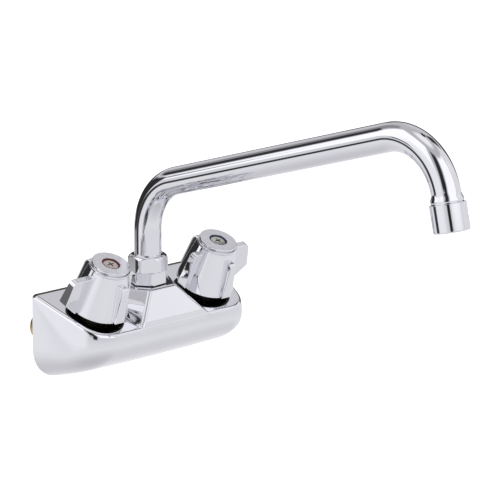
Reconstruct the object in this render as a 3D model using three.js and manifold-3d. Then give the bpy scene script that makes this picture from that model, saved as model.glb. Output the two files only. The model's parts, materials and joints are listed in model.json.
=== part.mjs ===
// Commercial wall-mounted sink tap: a hollow body casting with two quarter-turn
// ceramic valves, and a tubular spout that swings on top of the body.
//
// Millimetres. The wall is the plane y = 0 and the tap stands out from it towards -y.
// +x is the user's right, the cold side. z = 0 is the height of the two inlet axes.
// Heights in a valve or a handle are measured along the valve axis, from the deck.

import * as THREE from "three";
import { mergeVertices } from "three/addons/utils/BufferGeometryUtils.js";
import Module from "manifold-3d";

const wasm = await Module();
wasm.setup();

// ---------------------------------------------------------------- driving dimensions

const FIT = 0.3; // gap between pieces that seat on each other
const RUNNING_FIT = 0.4; // gap between pieces that turn in each other
const OVERRUN = 1; // how far a cutting tool runs past the face that it opens

// Body casting
const INLET_CENTRES = 101.6; // 4 inch centres
const BODY_LENGTH = 168.7; // along the wall
const BODY_WALL = 3.4;
const HOLLOW_EDGE = 0.4; // chamfer of the hollow's upper edge
const DECK_FRONT = 55.2; // from the wall to the front edge of the deck
const DECK_FRONT_HEIGHT = 10.1;
const DECK_SLOPE = THREE.MathUtils.degToRad(23.1);
const DECK_END_EDGE = 3; // rounding of the deck's edge at its two ends
const DECK_FRONT_EDGE = 1.2; // rounding along its front
const DECK_CORNER_RADIUS = 20;
const END_TAPER = THREE.MathUtils.degToRad(14);
const BELLY_DROP = 29.6; // from the inlet axes down to the body's lower rim
const BELLY_CORNER_RADIUS = 23;
const BELLY_CROWN = 0.9; // the belly rises this much towards its ends
const FRONT_BULGE = 4.3; // reach of the front curve's upper handle
const FRONT_FALL = 22.8;
const BELLY_REACH = 27.5; // reach of the front curve's lower handle
const BELLY_RISE = 8;

// Raised centre that carries the spout
const HUMP_TOP = 32.2;
const HUMP_FRONT_TOP = 41.7; // from the wall to the front edge of its flat top
const HUMP_FOOT_HALF = 31.9;
const HUMP_BROW_HALF = 12;
const HUMP_BACK_HALF = 34.2;
const HUMP_BEVEL = 0.8;
const HUMP_SETBACK = 0.6; // from the wall to the back of the raised centre

// Waterways in the casting
const VALVE_FOOT = 28.7; // from the wall to where a valve axis leaves the deck
const CHAMBER_RADIUS = 10;
const CHAMBER_DEPTH = 17.5;
const CHAMBER_WALL = 4;
const SEAT_PORT_RADIUS = 5.5;
const SEAT_PORT_DEPTH = 9;
const SEAT_PORT_FLOOR = 2;
const INLET_SOCKET_DEPTH = 8.5;
const INLET_BOSS_WALL = 3.6;
const INLET_BOSS_SETBACK = 1.5;
const INLET_BOSS_REACH = 6; // past the valve chamber's floor, towards the user
const WATERWAY_RADIUS = 5;
const SPOUT_PORT_RADIUS = 5.5;
const WATERWAY_WALL = 3;
const WATERWAY_DEPTH = 12; // of the crossing waterway, along the valve axis under the deck

// Inlet nipples
const NIPPLE_RADIUS = 10.5; // half-inch pipe thread
const NIPPLE_BORE = 7.5;
const NIPPLE_REACH = 32; // behind the wall plane
const NIPPLE_CHAMFER = 1.2;

// Spout joint, in heights above the inlet axes
const SPOUT_FROM_WALL = 26;
const ADAPTER_FLATS = 23;
const ADAPTER_TURN = THREE.MathUtils.degToRad(5.5);
const ADAPTER_STUB_RADIUS = 10.8;
const ADAPTER_STUB_DEPTH = 12.5;
const ADAPTER_TOP = 41.8;
const ADAPTER_NECK = 8.4; // threaded neck above the hexagon
const ADAPTER_GASKET = 0.5;
const ADAPTER_GASKET_RADIUS = 11.7;
const NUT_FLATS = 26;
const NUT_TURN = THREE.MathUtils.degToRad(22);
const NUT_TOP = 53.5;
const NUT_LIP = 1.3;
const NUT_SHOULDER = 3.6; // height and width of its rounded-off top
const NUT_SHOULDER_POWER = 1.5; // how the top's fall grows with the distance outwards
const NUT_SHOULDER_STEPS = 3;
const NUT_FOOT_CHAMFER = 0.8;
const SLEEVE_RADIUS = 8.7;
const SLEEVE_BORE = 5.6;
const SLEEVE_DEPTH = 24; // sleeve below the snap ring
const SLEEVE_SPIGOT = 8; // sleeve inside the tube
const SNAP_RING_RADIUS = 10.7;
const SNAP_RING_HEIGHT = 1.2;
const SNAP_RING_DEPTH = 0.9; // how far it reaches into the sleeve
const SNAP_RING_MOUTH = 3;
const O_RING_SECTION = 1.5;
const O_RING_PLAY = 0.25; // in its groove, above and below
const O_RING_SQUEEZE = 0.15; // between a ring and the bottom of its groove
const SLEEVE_CHAMFER = 0.8;
const SLEEVE_O_RINGS = [
  { name: "spout_o_ring_upper", below: 5.5 },
  { name: "spout_o_ring_lower", below: 13.5 },
];

// Spout tube
const TUBE_RADIUS = 9.75;
const TUBE_WALL = 1.1;
const RISER_TOP = 70.6;
const RISER_BEND = 41.9;
const RUN_RISE = THREE.MathUtils.degToRad(16.9);
const RUN_LENGTH = 206.5;
const OUTLET_BEND = 39.8;
const OUTLET_TURN = THREE.MathUtils.degToRad(93.4);
const OUTLET_STRAIGHT = 5.8;
const TUBE_ARC_STEPS = 9; // half of the facets round the tube
const SWAGE_RADIUS = 10.7;
const SWAGE_LENGTH = 6.5;
const SWAGE_STEP = 0.2; // the swage starts this far inside the tube's wall

// Aerator, measured down from its top edge
const AERATOR_RADIUS = 12;
const AERATOR_LENGTH = 18.2;
const AERATOR_THREAD_RADIUS = 10.3;
const AERATOR_THREAD = 7;
const AERATOR_WASHER = 1.8;
const AERATOR_INSERT = 5;
const AERATOR_SCREEN = 0.8;
const AERATOR_MOUTH = 9.2;
const AERATOR_TOP_EDGE = 0.3;
const AERATOR_EDGE = 0.9;
const AERATOR_WASHER_BORE = 7.6;
const INSERT_WALL = 1.6;
const INSERT_PLATE = 1.4;
const INSERT_PLATE_SINK = 1;
const INSERT_HOLES = 6;
const INSERT_HOLE_RADIUS = 1.3;
const INSERT_HOLE_CIRCLE = 5.6;
const SCREEN_PITCH = 3.4;
const SCREEN_BAR = 0.9;
const SCREEN_BARS = 2; // bars on each side of the middle one
const SCREEN_RIM = 2.2;

// Handles, heights from the deck
const HANDLE_TOP = 40.2;
const SKIRT_GAP = 4.2;
const CAP_RADIUS = 13.6;
const CAP_THICKNESS = 1.5;
const CAP_GROOVE = 1;
const CAP_GROOVE_DEPTH = 1.2;
const HANDLE_EDGE = 0.4; // small chamfer on the handle's edges
const RING_RADIUS = 14.5;
const SHOULDER_HEIGHT = 36;
const SKIRT_RADIUS = 21.3;
const HANDLE_WALL = 2.2;
const HANDLE_ROOF = 6; // from the shoulder down to the hollow
const PRONG_TOP = 31.7;
const PRONG_FOOT = 5;
const PRONG_THICKNESS = 5.2; // at the top
const PRONG_FOOT_THICKNESS = 8.4;
const PRONG_BEVEL = 0.8;
const SHORT_PRONG_TOP = 21.2;
const SHORT_PRONG_FOOT = 24;
const LONG_PRONG_TOP = 31.5;
const LONG_PRONG_KNEE = 35.3;
const LONG_PRONG_KNEE_HEIGHT = 13.8;
const LONG_PRONG_FOOT = 24;
const PRONG_ROUND = 3.2;
const HUB_RADIUS = 7;
const HUB_BOTTOM = 16.4;
const CAP_RECESS_RADIUS = 6.5;
const CAP_RECESS_DEPTH = 1.6;
const INDEX_RING_BORE = 5.2;
const INDEX_RING_SINK = 0.2; // below the cap's face
const SCREW_HEAD_RADIUS = 4.7;
const SCREW_HEAD_HEIGHT = 2.6;
const SCREW_HEAD_SINK = 0.4; // below the cap's face
const SCREW_HEAD_CROWN = 0.6;
const SCREW_SLOT_REACH = 2.6;
const SCREW_SLOT = 1;
const SCREW_SLOT_DEPTH = 1.2;
const SCREW_SHANK_RADIUS = 2;
const SCREW_LENGTH = 12;

// Valve cartridges, heights from the deck
const BONNET_GASKET = 1.2;
const BONNET_FLANGE_RADIUS = 12;
const BONNET_FLANGE = 1.2;
const BONNET_FLATS = 19;
const BONNET_HEX = 6;
const BONNET_NECK_RADIUS = 6.9;
const BONNET_NECK = 5.2;
const BONNET_THREAD = 6.5;
const BONNET_WALL = 1.2;
const BONNET_WINDOW = 7;
const SPINDLE_RADIUS = 4.2;
const SPINDLE_FLANGE_RADIUS = 6.8;
const SPINDLE_FLANGE = 2.4;
const SPLINE_RADIUS = 3.9;
const SPLINE_TEETH = 12;
const SPLINE_TOOTH = 0.45;
const SPINDLE_TOP = 33;
const SPINDLE_O_RING_SECTION = 1.2;
const DISC_RADIUS = 7.8;
const DISC_THICKNESS = 2.8;
const DISC_PORT_INNER = 1.8;
const DISC_PORT_OUTER = 6;
const DISC_PORT_HALF = THREE.MathUtils.degToRad(38);
const DISC_SLOT = 2.6;
const DISC_SLOT_DEPTH = 1;
const TONGUE_DEPTH = 0.9; // the spindle's tongue in the slot
const SEAT_SEAL = 2.4;
const SEAT_SEAL_BORE = 5.6;
const CLIP_RADIUS = 6.3;
const CLIP_THICKNESS = 0.9;
const CLIP_MOUTH = 4.6;

// ---------------------------------------------------------------- materials

function finish(color, roughness, metalness) {
  return new THREE.MeshStandardMaterial({ color, roughness, metalness });
}

const CHROME = finish(0xd9dadd, 0.06, 1);
const BRASS = finish(0xb8913f, 0.35, 1);
const STEEL = finish(0xa9a39a, 0.3, 1);
const RUBBER = finish(0x1b1b1c, 0.8, 0);
const CERAMIC = finish(0xe9e6df, 0.25, 0);
const WHITE_NYLON = finish(0xe4e2da, 0.5, 0);
const HOT_RED = finish(0xa3241c, 0.35, 0);
const COLD_BLUE = finish(0x1f3f94, 0.35, 0);

// ---------------------------------------------------------------- solids

const BIG = 400; // a box side longer than the tap
const SIDES_SHOWN = 24; // facets round a turned piece that shows
const SIDES_INSIDE = 16; // facets round an inner piece or a bore
const SCREW_SIDES = 12;

// A closed geometry as a solid that can be joined and cut.
function solid(geometry, matrix) {
  const bare = geometry.clone();
  bare.deleteAttribute("normal");
  bare.deleteAttribute("uv");
  if (matrix) bare.applyMatrix4(matrix);
  const merged = mergeVertices(bare, 1e-4);
  const corners = merged.index.array;
  const triVerts = [];
  for (let i = 0; i < corners.length; i += 3) {
    const [a, b, c] = corners.slice(i, i + 3);
    if (a !== b && b !== c && c !== a) triVerts.push(a, b, c);
  }
  const vertProperties = merged.attributes.position.array;
  return new wasm.Manifold(
    new wasm.Mesh({ numProp: 3, vertProperties, triVerts: new Uint32Array(triVerts) }),
  );
}

function joined(...solids) {
  return solids.reduce((whole, next) => whole.add(next));
}

function cut(base, ...tools) {
  return tools.reduce((rest, tool) => rest.subtract(tool), base);
}

// A finished solid as a named mesh.
function piece(name, body, material) {
  const { numProp, vertProperties, triVerts, numVert } = body.getMesh();
  const points = new Float32Array(numVert * 3);
  for (let i = 0; i < numVert; i++) {
    points.set(vertProperties.subarray(i * numProp, i * numProp + 3), i * 3);
  }
  const geometry = new THREE.BufferGeometry();
  geometry.setAttribute("position", new THREE.BufferAttribute(points, 3));
  geometry.setIndex(new THREE.BufferAttribute(triVerts, 1));
  geometry.computeVertexNormals();
  const mesh = new THREE.Mesh(geometry, material);
  mesh.name = name;
  return mesh;
}

// Turns a profile of [radius, height] points about the z axis. The profile runs up its
// outer side, and starts and ends on the axis or closes on itself.
function revolved(profile, sides, matrix) {
  const points = profile.map(([radius, height]) => new THREE.Vector2(radius, height));
  const geometry = new THREE.LatheGeometry(points, sides).rotateX(Math.PI / 2);
  return solid(geometry, matrix);
}

function rod(radius, from, to, sides, matrix) {
  return revolved([[0, from], [radius, from], [radius, to], [0, to]], sides, matrix);
}

// A ring of rectangular section.
function washer(inner, outer, from, to, sides, matrix) {
  const section = [[inner, from], [outer, from], [outer, to], [inner, to], [inner, from]];
  return revolved(section, sides, matrix);
}

// A ring of round section.
function oRing(radius, section, height) {
  const points = [];
  const corners = 6;
  for (let i = 0; i <= corners; i++) {
    const angle = (i / corners) * 2 * Math.PI;
    points.push([
      radius + (section / 2) * Math.cos(angle),
      height + (section / 2) * Math.sin(angle),
    ]);
  }
  points[corners] = points[0];
  return revolved(points, SIDES_INSIDE);
}

// A flat outline carried straight up between two heights.
function prism(shape, from, to, matrix) {
  const options = { depth: to - from, bevelEnabled: false, curveSegments: 6 };
  const geometry = new THREE.ExtrudeGeometry(shape, options).translate(0, 0, from);
  return solid(geometry, matrix);
}

function polygonShape(points) {
  return new THREE.Shape(points.map(([x, y]) => new THREE.Vector2(x, y)));
}

function hexagonShape(flats, turn) {
  const radius = flats / Math.sqrt(3);
  const points = [];
  for (let i = 0; i < 6; i++) {
    const angle = turn + (i * Math.PI) / 3;
    points.push([radius * Math.cos(angle), radius * Math.sin(angle)]);
  }
  return polygonShape(points);
}

function circlePath(radius, x = 0, y = 0) {
  return new THREE.Path().absarc(x, y, radius, 0, 2 * Math.PI, true);
}

// Everything on the outer side of a plane, as a large box.
function beyond(normal, point) {
  const turn = new THREE.Quaternion().setFromUnitVectors(
    new THREE.Vector3(0, 0, 1),
    normal,
  );
  const centre = point.clone().addScaledVector(normal, BIG / 2);
  const matrix = new THREE.Matrix4().compose(centre, turn, new THREE.Vector3(1, 1, 1));
  return solid(new THREE.BoxGeometry(BIG, BIG, BIG), matrix);
}

// Takes off the edge that two planes make at a point.
function beveled(body, normalA, normalB, point, depth) {
  const normal = normalA.clone().add(normalB).normalize();
  return body.subtract(beyond(normal, point.clone().addScaledVector(normal, -depth)));
}

// ---------------------------------------------------------------- places

function deckHeight(y) {
  return DECK_FRONT_HEIGHT + (DECK_FRONT + y) * Math.tan(DECK_SLOPE);
}

// A valve's frame: its z axis is the valve axis and its origin is on the deck.
function valveMatrix(side) {
  const matrix = new THREE.Matrix4().makeRotationX(DECK_SLOPE);
  const foot = deckHeight(-VALVE_FOOT);
  return matrix.setPosition((side * INLET_CENTRES) / 2, -VALVE_FOOT, foot);
}

function valvePoint(side, height) {
  return new THREE.Vector3(0, 0, height).applyMatrix4(valveMatrix(side));
}

// A frame whose z axis runs from one point to another.
function alongMatrix(from, to) {
  const direction = to.clone().sub(from).normalize();
  const turn = new THREE.Quaternion().setFromUnitVectors(
    new THREE.Vector3(0, 0, 1),
    direction,
  );
  return new THREE.Matrix4().compose(from, turn, new THREE.Vector3(1, 1, 1));
}

// ---------------------------------------------------------------- body casting

// Half of the deck's outline in plan, from the wall to the middle of the front: the
// tapered end, the round corner and the straight front. Each point has its outward
// direction.
function planOutline(inset, back) {
  const steps = inset > 0 ? { end: 2, corner: 4, front: 2 } : { end: 3, corner: 6, front: 3 };
  const radius = DECK_CORNER_RADIUS - inset;
  const cornerY = -(DECK_FRONT - DECK_CORNER_RADIUS);
  const cornerX =
    BODY_LENGTH / 2 - (DECK_CORNER_RADIUS - cornerY * Math.sin(END_TAPER)) / Math.cos(END_TAPER);
  const endX = BODY_LENGTH / 2 + back * Math.tan(END_TAPER) - inset / Math.cos(END_TAPER);
  const tangentX = cornerX + radius * Math.cos(END_TAPER);
  const tangentY = cornerY - radius * Math.sin(END_TAPER);
  const points = [];
  for (let i = 0; i < steps.end; i++) {
    const t = i / steps.end;
    points.push({
      x: THREE.MathUtils.lerp(endX, tangentX, t),
      y: THREE.MathUtils.lerp(back, tangentY, t),
      nx: i === 0 ? 1 : Math.cos(END_TAPER),
      ny: i === 0 ? 0 : -Math.sin(END_TAPER),
      part: t,
    });
  }
  for (let i = 0; i <= steps.corner; i++) {
    const t = i / steps.corner;
    const angle = THREE.MathUtils.lerp(END_TAPER, Math.PI / 2, t);
    points.push({
      x: cornerX + radius * Math.cos(angle),
      y: cornerY - radius * Math.sin(angle),
      nx: Math.cos(angle),
      ny: -Math.sin(angle),
      part: 1 + t,
    });
  }
  for (let i = 1; i <= steps.front; i++) {
    const t = i / steps.front;
    const x = cornerX * (1 - t);
    points.push({ x, y: cornerY - radius, nx: 0, ny: -1, part: 2 + t });
  }
  return points;
}

// The point of the body's rim on the wall that faces a point of the deck's outline, with
// the direction from the rim into the casting.
function rimPoint(part, inset, halfAtWall, top) {
  const radius = BELLY_CORNER_RADIUS - inset;
  const cornerX = halfAtWall - radius;
  const cornerZ = -BELLY_DROP + BELLY_CORNER_RADIUS;
  const crown = (x) => BELLY_CROWN * Math.min(x / cornerX, 1) ** 2;
  if (part <= 1) {
    const z = THREE.MathUtils.lerp(top, cornerZ + BELLY_CROWN, part);
    return { x: halfAtWall, z, inX: -1, inZ: 0 };
  }
  if (part <= 2) {
    const angle = ((part - 1) * Math.PI) / 2;
    return {
      x: cornerX + radius * Math.cos(angle),
      z: cornerZ + BELLY_CROWN - radius * Math.sin(angle),
      inX: -Math.cos(angle),
      inZ: Math.sin(angle),
    };
  }
  const x = cornerX * (3 - part);
  return { x, z: cornerZ - radius + crown(x), inX: 0, inZ: 1 };
}

// The rounding of the deck's edge: wide at the ends, and narrow from the corner on.
function deckEdge(part) {
  const share = THREE.MathUtils.smoothstep(part, 1, 2);
  return THREE.MathUtils.lerp(DECK_END_EDGE, DECK_FRONT_EDGE, share);
}

// One rib of the body's skin: over the rounded deck edge, down the front and under the
// belly to the rim on the wall.
function bodyRib(point, inset, back, halfAtWall) {
  const edge = inset > 0 ? HOLLOW_EDGE : deckEdge(point.part);
  const edgeSteps = inset > 0 ? 1 : 3;
  const ribSteps = inset > 0 ? 5 : 8;
  const drop = inset / Math.cos(DECK_SLOPE);
  const rib = [];
  for (let i = 0; i < edgeSteps; i++) {
    const angle = (i / edgeSteps) * (Math.PI / 2);
    const y = point.y - point.ny * edge * (1 - Math.sin(angle));
    const x = point.x - point.nx * edge * (1 - Math.sin(angle));
    rib.push(new THREE.Vector3(x, y, deckHeight(y) - drop - edge * (1 - Math.cos(angle))));
  }
  const top = new THREE.Vector3(point.x, point.y, deckHeight(point.y) - drop - edge);
  const rimTop = deckHeight(back) - drop - (inset > 0 ? edge : DECK_END_EDGE);
  const rim = rimPoint(point.part, inset, halfAtWall, rimTop);
  const foot = new THREE.Vector3(rim.x, back, rim.z);
  const curve = new THREE.CubicBezierCurve3(top, upperHandle(), lowerHandle(), foot);
  for (let i = 0; i <= ribSteps; i++) rib.push(curve.getPoint(i / ribSteps));
  return rib;

  function upperHandle() {
    const straight = foot.clone().sub(top).divideScalar(3);
    const bulge = new THREE.Vector3(
      point.nx * FRONT_BULGE,
      point.ny * FRONT_BULGE,
      -FRONT_FALL,
    );
    return straight.lerp(bulge, THREE.MathUtils.smoothstep(point.part, 0, 1)).add(top);
  }

  function lowerHandle() {
    const straight = top.clone().sub(foot).divideScalar(3);
    const reach = new THREE.Vector3(
      rim.inX * BELLY_RISE,
      -BELLY_REACH,
      rim.inZ * BELLY_RISE,
    );
    return straight.lerp(reach, THREE.MathUtils.smoothstep(point.part, 0, 1)).add(foot);
  }
}

// The body's closed envelope without the raised centre, made smaller by an inset and
// closed by a flat face in the plane y = back.
function bodyEnvelope(inset, back) {
  const halfOutline = planOutline(inset, back);
  const halfAtWall = halfOutline[0].x;
  const right = halfOutline.map((point) => bodyRib(point, inset, back, halfAtWall));
  const left = right
    .slice(0, -1)
    .map((rib) => rib.map((p) => new THREE.Vector3(-p.x, p.y, p.z)));
  const ribs = [...left, ...right.reverse()];
  const perRib = ribs[0].length;
  const positions = ribs.flat().flatMap((p) => [p.x, p.y, p.z]);
  const middleY = -DECK_FRONT / 2;
  const deckCentre = positions.length / 3;
  const drop = inset / Math.cos(DECK_SLOPE);
  positions.push(0, middleY, deckHeight(middleY) - drop, 0, back, 0);
  const backCentre = deckCentre + 1;
  const index = [];
  const at = (rib, step) => rib * perRib + step;
  for (let i = 0; i + 1 < ribs.length; i++) {
    for (let j = 0; j + 1 < perRib; j++) {
      index.push(at(i, j), at(i, j + 1), at(i + 1, j + 1));
      index.push(at(i, j), at(i + 1, j + 1), at(i + 1, j));
    }
    index.push(deckCentre, at(i, 0), at(i + 1, 0));
    index.push(backCentre, at(i + 1, perRib - 1), at(i, perRib - 1));
  }
  const last = ribs.length - 1;
  for (let j = 0; j + 1 < perRib; j++) {
    index.push(backCentre, at(0, j + 1), at(0, j));
    index.push(backCentre, at(last, j), at(last, j + 1));
  }
  index.push(deckCentre, at(last, 0), at(0, 0));
  index.push(backCentre, at(0, 0), at(last, 0));
  const geometry = new THREE.BufferGeometry();
  geometry.setAttribute("position", new THREE.Float32BufferAttribute(positions, 3));
  geometry.setIndex(index);
  return solid(geometry);
}

// The raised centre: a bar with a flat top and a sloping brow, with leaning sides that
// open it towards the wall. The inset makes the hollow inside it.
function hump(inset, back) {
  const browSlope = Math.atan2(HUMP_TOP - DECK_FRONT_HEIGHT, DECK_FRONT - HUMP_FRONT_TOP);
  const browIn = inset / Math.sin(browSlope);
  const top = HUMP_TOP - inset;
  const topIn = inset / Math.tan(browSlope);
  const foot = DECK_FRONT_HEIGHT;
  const half = HUMP_BACK_HALF + HUMP_TOP;
  const outline = polygonShape([
    [-DECK_FRONT + browIn, foot],
    [-HUMP_FRONT_TOP + browIn - topIn, top],
    [back, top],
    [back, foot],
  ]);
  const axes = new THREE.Matrix4().makeBasis(
    new THREE.Vector3(0, 1, 0),
    new THREE.Vector3(0, 0, 1),
    new THREE.Vector3(1, 0, 0),
  );
  let body = prism(outline, -half, half, axes);
  const up = new THREE.Vector3(0, 0, 1);
  const brow = new THREE.Vector3(0, -Math.sin(browSlope), Math.cos(browSlope));
  const browEdge = new THREE.Vector3(0, -HUMP_FRONT_TOP, HUMP_TOP);
  for (const side of [-1, 1]) {
    const frontFoot = new THREE.Vector3(side * HUMP_FOOT_HALF, -DECK_FRONT, foot);
    const frontTop = new THREE.Vector3(side * HUMP_BROW_HALF, -HUMP_FRONT_TOP, HUMP_TOP);
    const backTopY = (HUMP_TOP - foot) / Math.tan(DECK_SLOPE) - DECK_FRONT;
    const backTop = new THREE.Vector3(side * HUMP_BACK_HALF, backTopY, HUMP_TOP);
    const across = frontTop.clone().sub(frontFoot);
    const along = backTop.clone().sub(frontFoot);
    const flank = across.cross(along).normalize().multiplyScalar(side);
    if (flank.z < 0) flank.negate();
    body = body.subtract(beyond(flank, frontFoot.clone().addScaledVector(flank, -inset)));
    if (inset > 0) continue;
    body = beveled(body, flank, brow, frontTop, HUMP_BEVEL);
    body = beveled(body, flank, up, frontTop, HUMP_BEVEL);
  }
  if (inset > 0) return body;
  const lip = polygonShape([
    [-DECK_FRONT, foot - DECK_FRONT_EDGE],
    [-DECK_FRONT, foot],
    [back, foot],
    [back, foot - DECK_FRONT_EDGE],
  ]);
  const lipBody = prism(lip, -HUMP_FOOT_HALF, HUMP_FOOT_HALF, axes);
  return joined(beveled(body, brow, up, browEdge, HUMP_BEVEL), lipBody);
}

function crossWaterway(radius) {
  const from = valvePoint(-1, -WATERWAY_DEPTH);
  const to = valvePoint(1, -WATERWAY_DEPTH);
  return rod(radius, 0, to.x - from.x, SIDES_INSIDE, alongMatrix(from, to));
}

// A cylinder from the wall side into the body along an inlet axis.
function inletRod(side, radius, from, to) {
  const x = (side * INLET_CENTRES) / 2;
  const start = new THREE.Vector3(x, from, 0);
  const end = new THREE.Vector3(x, to, 0);
  return rod(radius, 0, Math.abs(from - to), SIDES_INSIDE, alongMatrix(start, end));
}

function spoutMatrix() {
  return new THREE.Matrix4().makeTranslation(0, -SPOUT_FROM_WALL, 0);
}

// Bosses that stand in the hollow body and carry the water.
function bosses() {
  const chamberOuter = CHAMBER_RADIUS + CHAMBER_WALL;
  const socketOuter = NIPPLE_RADIUS + FIT + INLET_BOSS_WALL;
  const spoutOuter = ADAPTER_STUB_RADIUS + FIT + CHAMBER_WALL;
  const spoutFoot = valvePoint(1, -WATERWAY_DEPTH).z - WATERWAY_RADIUS - WATERWAY_WALL;
  const seatFoot = -CHAMBER_DEPTH - SEAT_PORT_DEPTH - SEAT_PORT_FLOOR;
  const list = [
    crossWaterway(WATERWAY_RADIUS + WATERWAY_WALL),
    rod(spoutOuter, spoutFoot, HUMP_TOP - BODY_WALL / 2, SIDES_INSIDE, spoutMatrix()),
  ];
  for (const side of [-1, 1]) {
    list.push(rod(chamberOuter, seatFoot, -BODY_WALL / 2, SIDES_INSIDE, valveMatrix(side)));
    const inner = valvePoint(side, -CHAMBER_DEPTH).y - INLET_BOSS_REACH;
    list.push(inletRod(side, socketOuter, -INLET_BOSS_SETBACK, inner));
  }
  return joined(...list);
}

// Bores for the cartridges, the nipples, the adapter and the water between them.
function waterways() {
  const waterwayZ = valvePoint(1, -WATERWAY_DEPTH).z;
  const stubFoot = HUMP_TOP - ADAPTER_STUB_DEPTH - FIT;
  const stubBore = ADAPTER_STUB_RADIUS + FIT;
  const spout = spoutMatrix();
  const list = [
    crossWaterway(WATERWAY_RADIUS),
    rod(stubBore, stubFoot, HUMP_TOP + OVERRUN, SIDES_INSIDE, spout),
    rod(SPOUT_PORT_RADIUS, waterwayZ, stubFoot + OVERRUN, SIDES_INSIDE, spout),
  ];
  for (const side of [-1, 1]) {
    const valve = valveMatrix(side);
    list.push(rod(CHAMBER_RADIUS, -CHAMBER_DEPTH, OVERRUN, SIDES_INSIDE, valve));
    const portFoot = -CHAMBER_DEPTH - SEAT_PORT_DEPTH;
    const portTop = -CHAMBER_DEPTH + OVERRUN;
    list.push(rod(SEAT_PORT_RADIUS, portFoot, portTop, SIDES_INSIDE, valve));
    const socketEnd = -INLET_BOSS_SETBACK - INLET_SOCKET_DEPTH;
    list.push(inletRod(side, NIPPLE_RADIUS + FIT, OVERRUN, socketEnd));
    const portY = valvePoint(side, portFoot).y - SEAT_PORT_RADIUS / 2;
    list.push(inletRod(side, WATERWAY_RADIUS, socketEnd + OVERRUN, portY));
  }
  return joined(...list);
}

function bodyCasting() {
  const outer = joined(bodyEnvelope(0, 0), hump(0, -HUMP_SETBACK));
  const hollow = joined(bodyEnvelope(BODY_WALL, OVERRUN), hump(BODY_WALL, OVERRUN));
  const shell = cut(outer, hollow);
  const inside = bosses().intersect(outer);
  return cut(joined(shell, inside), waterways());
}

// ---------------------------------------------------------------- inlet nipples

// A short threaded pipe, z along its length with the inner end at zero.
function inletNipple() {
  const length = INLET_SOCKET_DEPTH + INLET_BOSS_SETBACK - FIT + NIPPLE_REACH;
  const chamfer = NIPPLE_CHAMFER;
  return revolved(
    [
      [NIPPLE_BORE, 0],
      [NIPPLE_RADIUS - chamfer, 0],
      [NIPPLE_RADIUS, chamfer],
      [NIPPLE_RADIUS, length - chamfer],
      [NIPPLE_RADIUS - chamfer, length],
      [NIPPLE_BORE, length],
      [NIPPLE_BORE, 0],
    ],
    SIDES_SHOWN,
  );
}

// ---------------------------------------------------------------- spout joint

const HEX_FOOT = HUMP_TOP + ADAPTER_GASKET + 2 * FIT;
const NECK_TOP = ADAPTER_TOP + ADAPTER_NECK;
const SNAP_RING_FOOT = NECK_TOP + FIT;
const SNAP_RING_TOP = SNAP_RING_FOOT + SNAP_RING_HEIGHT;
const TUBE_FOOT = SNAP_RING_TOP + FIT;
const SOCKET_RADIUS = SLEEVE_RADIUS + FIT;
const SLEEVE_FOOT = SNAP_RING_FOOT - SLEEVE_DEPTH;
const TUBE_BORE = TUBE_RADIUS - TUBE_WALL;

function spoutAdapter() {
  const stubFoot = HUMP_TOP - ADAPTER_STUB_DEPTH;
  const hexagon = prism(hexagonShape(ADAPTER_FLATS, ADAPTER_TURN), HEX_FOOT, ADAPTER_TOP);
  const stub = rod(ADAPTER_STUB_RADIUS, stubFoot, NECK_TOP, SIDES_INSIDE);
  const socketFoot = SLEEVE_FOOT - FIT;
  const socket = rod(SOCKET_RADIUS, socketFoot, NECK_TOP + OVERRUN, SIDES_INSIDE);
  const bore = rod(SLEEVE_BORE, stubFoot - OVERRUN, socketFoot + OVERRUN, SIDES_INSIDE);
  return cut(joined(hexagon, stub), socket, bore);
}

function spoutAdapterGasket() {
  const foot = HUMP_TOP + FIT;
  const inner = ADAPTER_STUB_RADIUS + FIT;
  return washer(inner, ADAPTER_GASKET_RADIUS, foot, foot + ADAPTER_GASKET, SIDES_SHOWN);
}

function spoutNut() {
  const foot = ADAPTER_TOP + FIT;
  const corner = NUT_FLATS / Math.sqrt(3);
  const shoulder = [];
  for (let i = NUT_SHOULDER_STEPS; i >= 0; i--) {
    const out = i / NUT_SHOULDER_STEPS;
    const fall = NUT_SHOULDER * out ** NUT_SHOULDER_POWER;
    shoulder.push([corner - NUT_SHOULDER * (1 - out), NUT_TOP - fall]);
  }
  const turned = revolved(
    [
      [0, foot],
      [corner - NUT_FOOT_CHAMFER, foot],
      [corner, foot + NUT_FOOT_CHAMFER],
      ...shoulder,
      [0, NUT_TOP],
    ],
    SIDES_SHOWN,
  );
  const shape = hexagonShape(NUT_FLATS, NUT_TURN);
  const hexagon = prism(shape, foot - OVERRUN, NUT_TOP + OVERRUN);
  const threadTop = NUT_TOP - NUT_LIP;
  const thread = rod(ADAPTER_STUB_RADIUS + FIT, foot - OVERRUN, threadTop, SIDES_INSIDE);
  const passage = rod(TUBE_RADIUS + FIT, foot, NUT_TOP + OVERRUN, SIDES_SHOWN);
  return cut(turned.intersect(hexagon), thread, passage);
}

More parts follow.
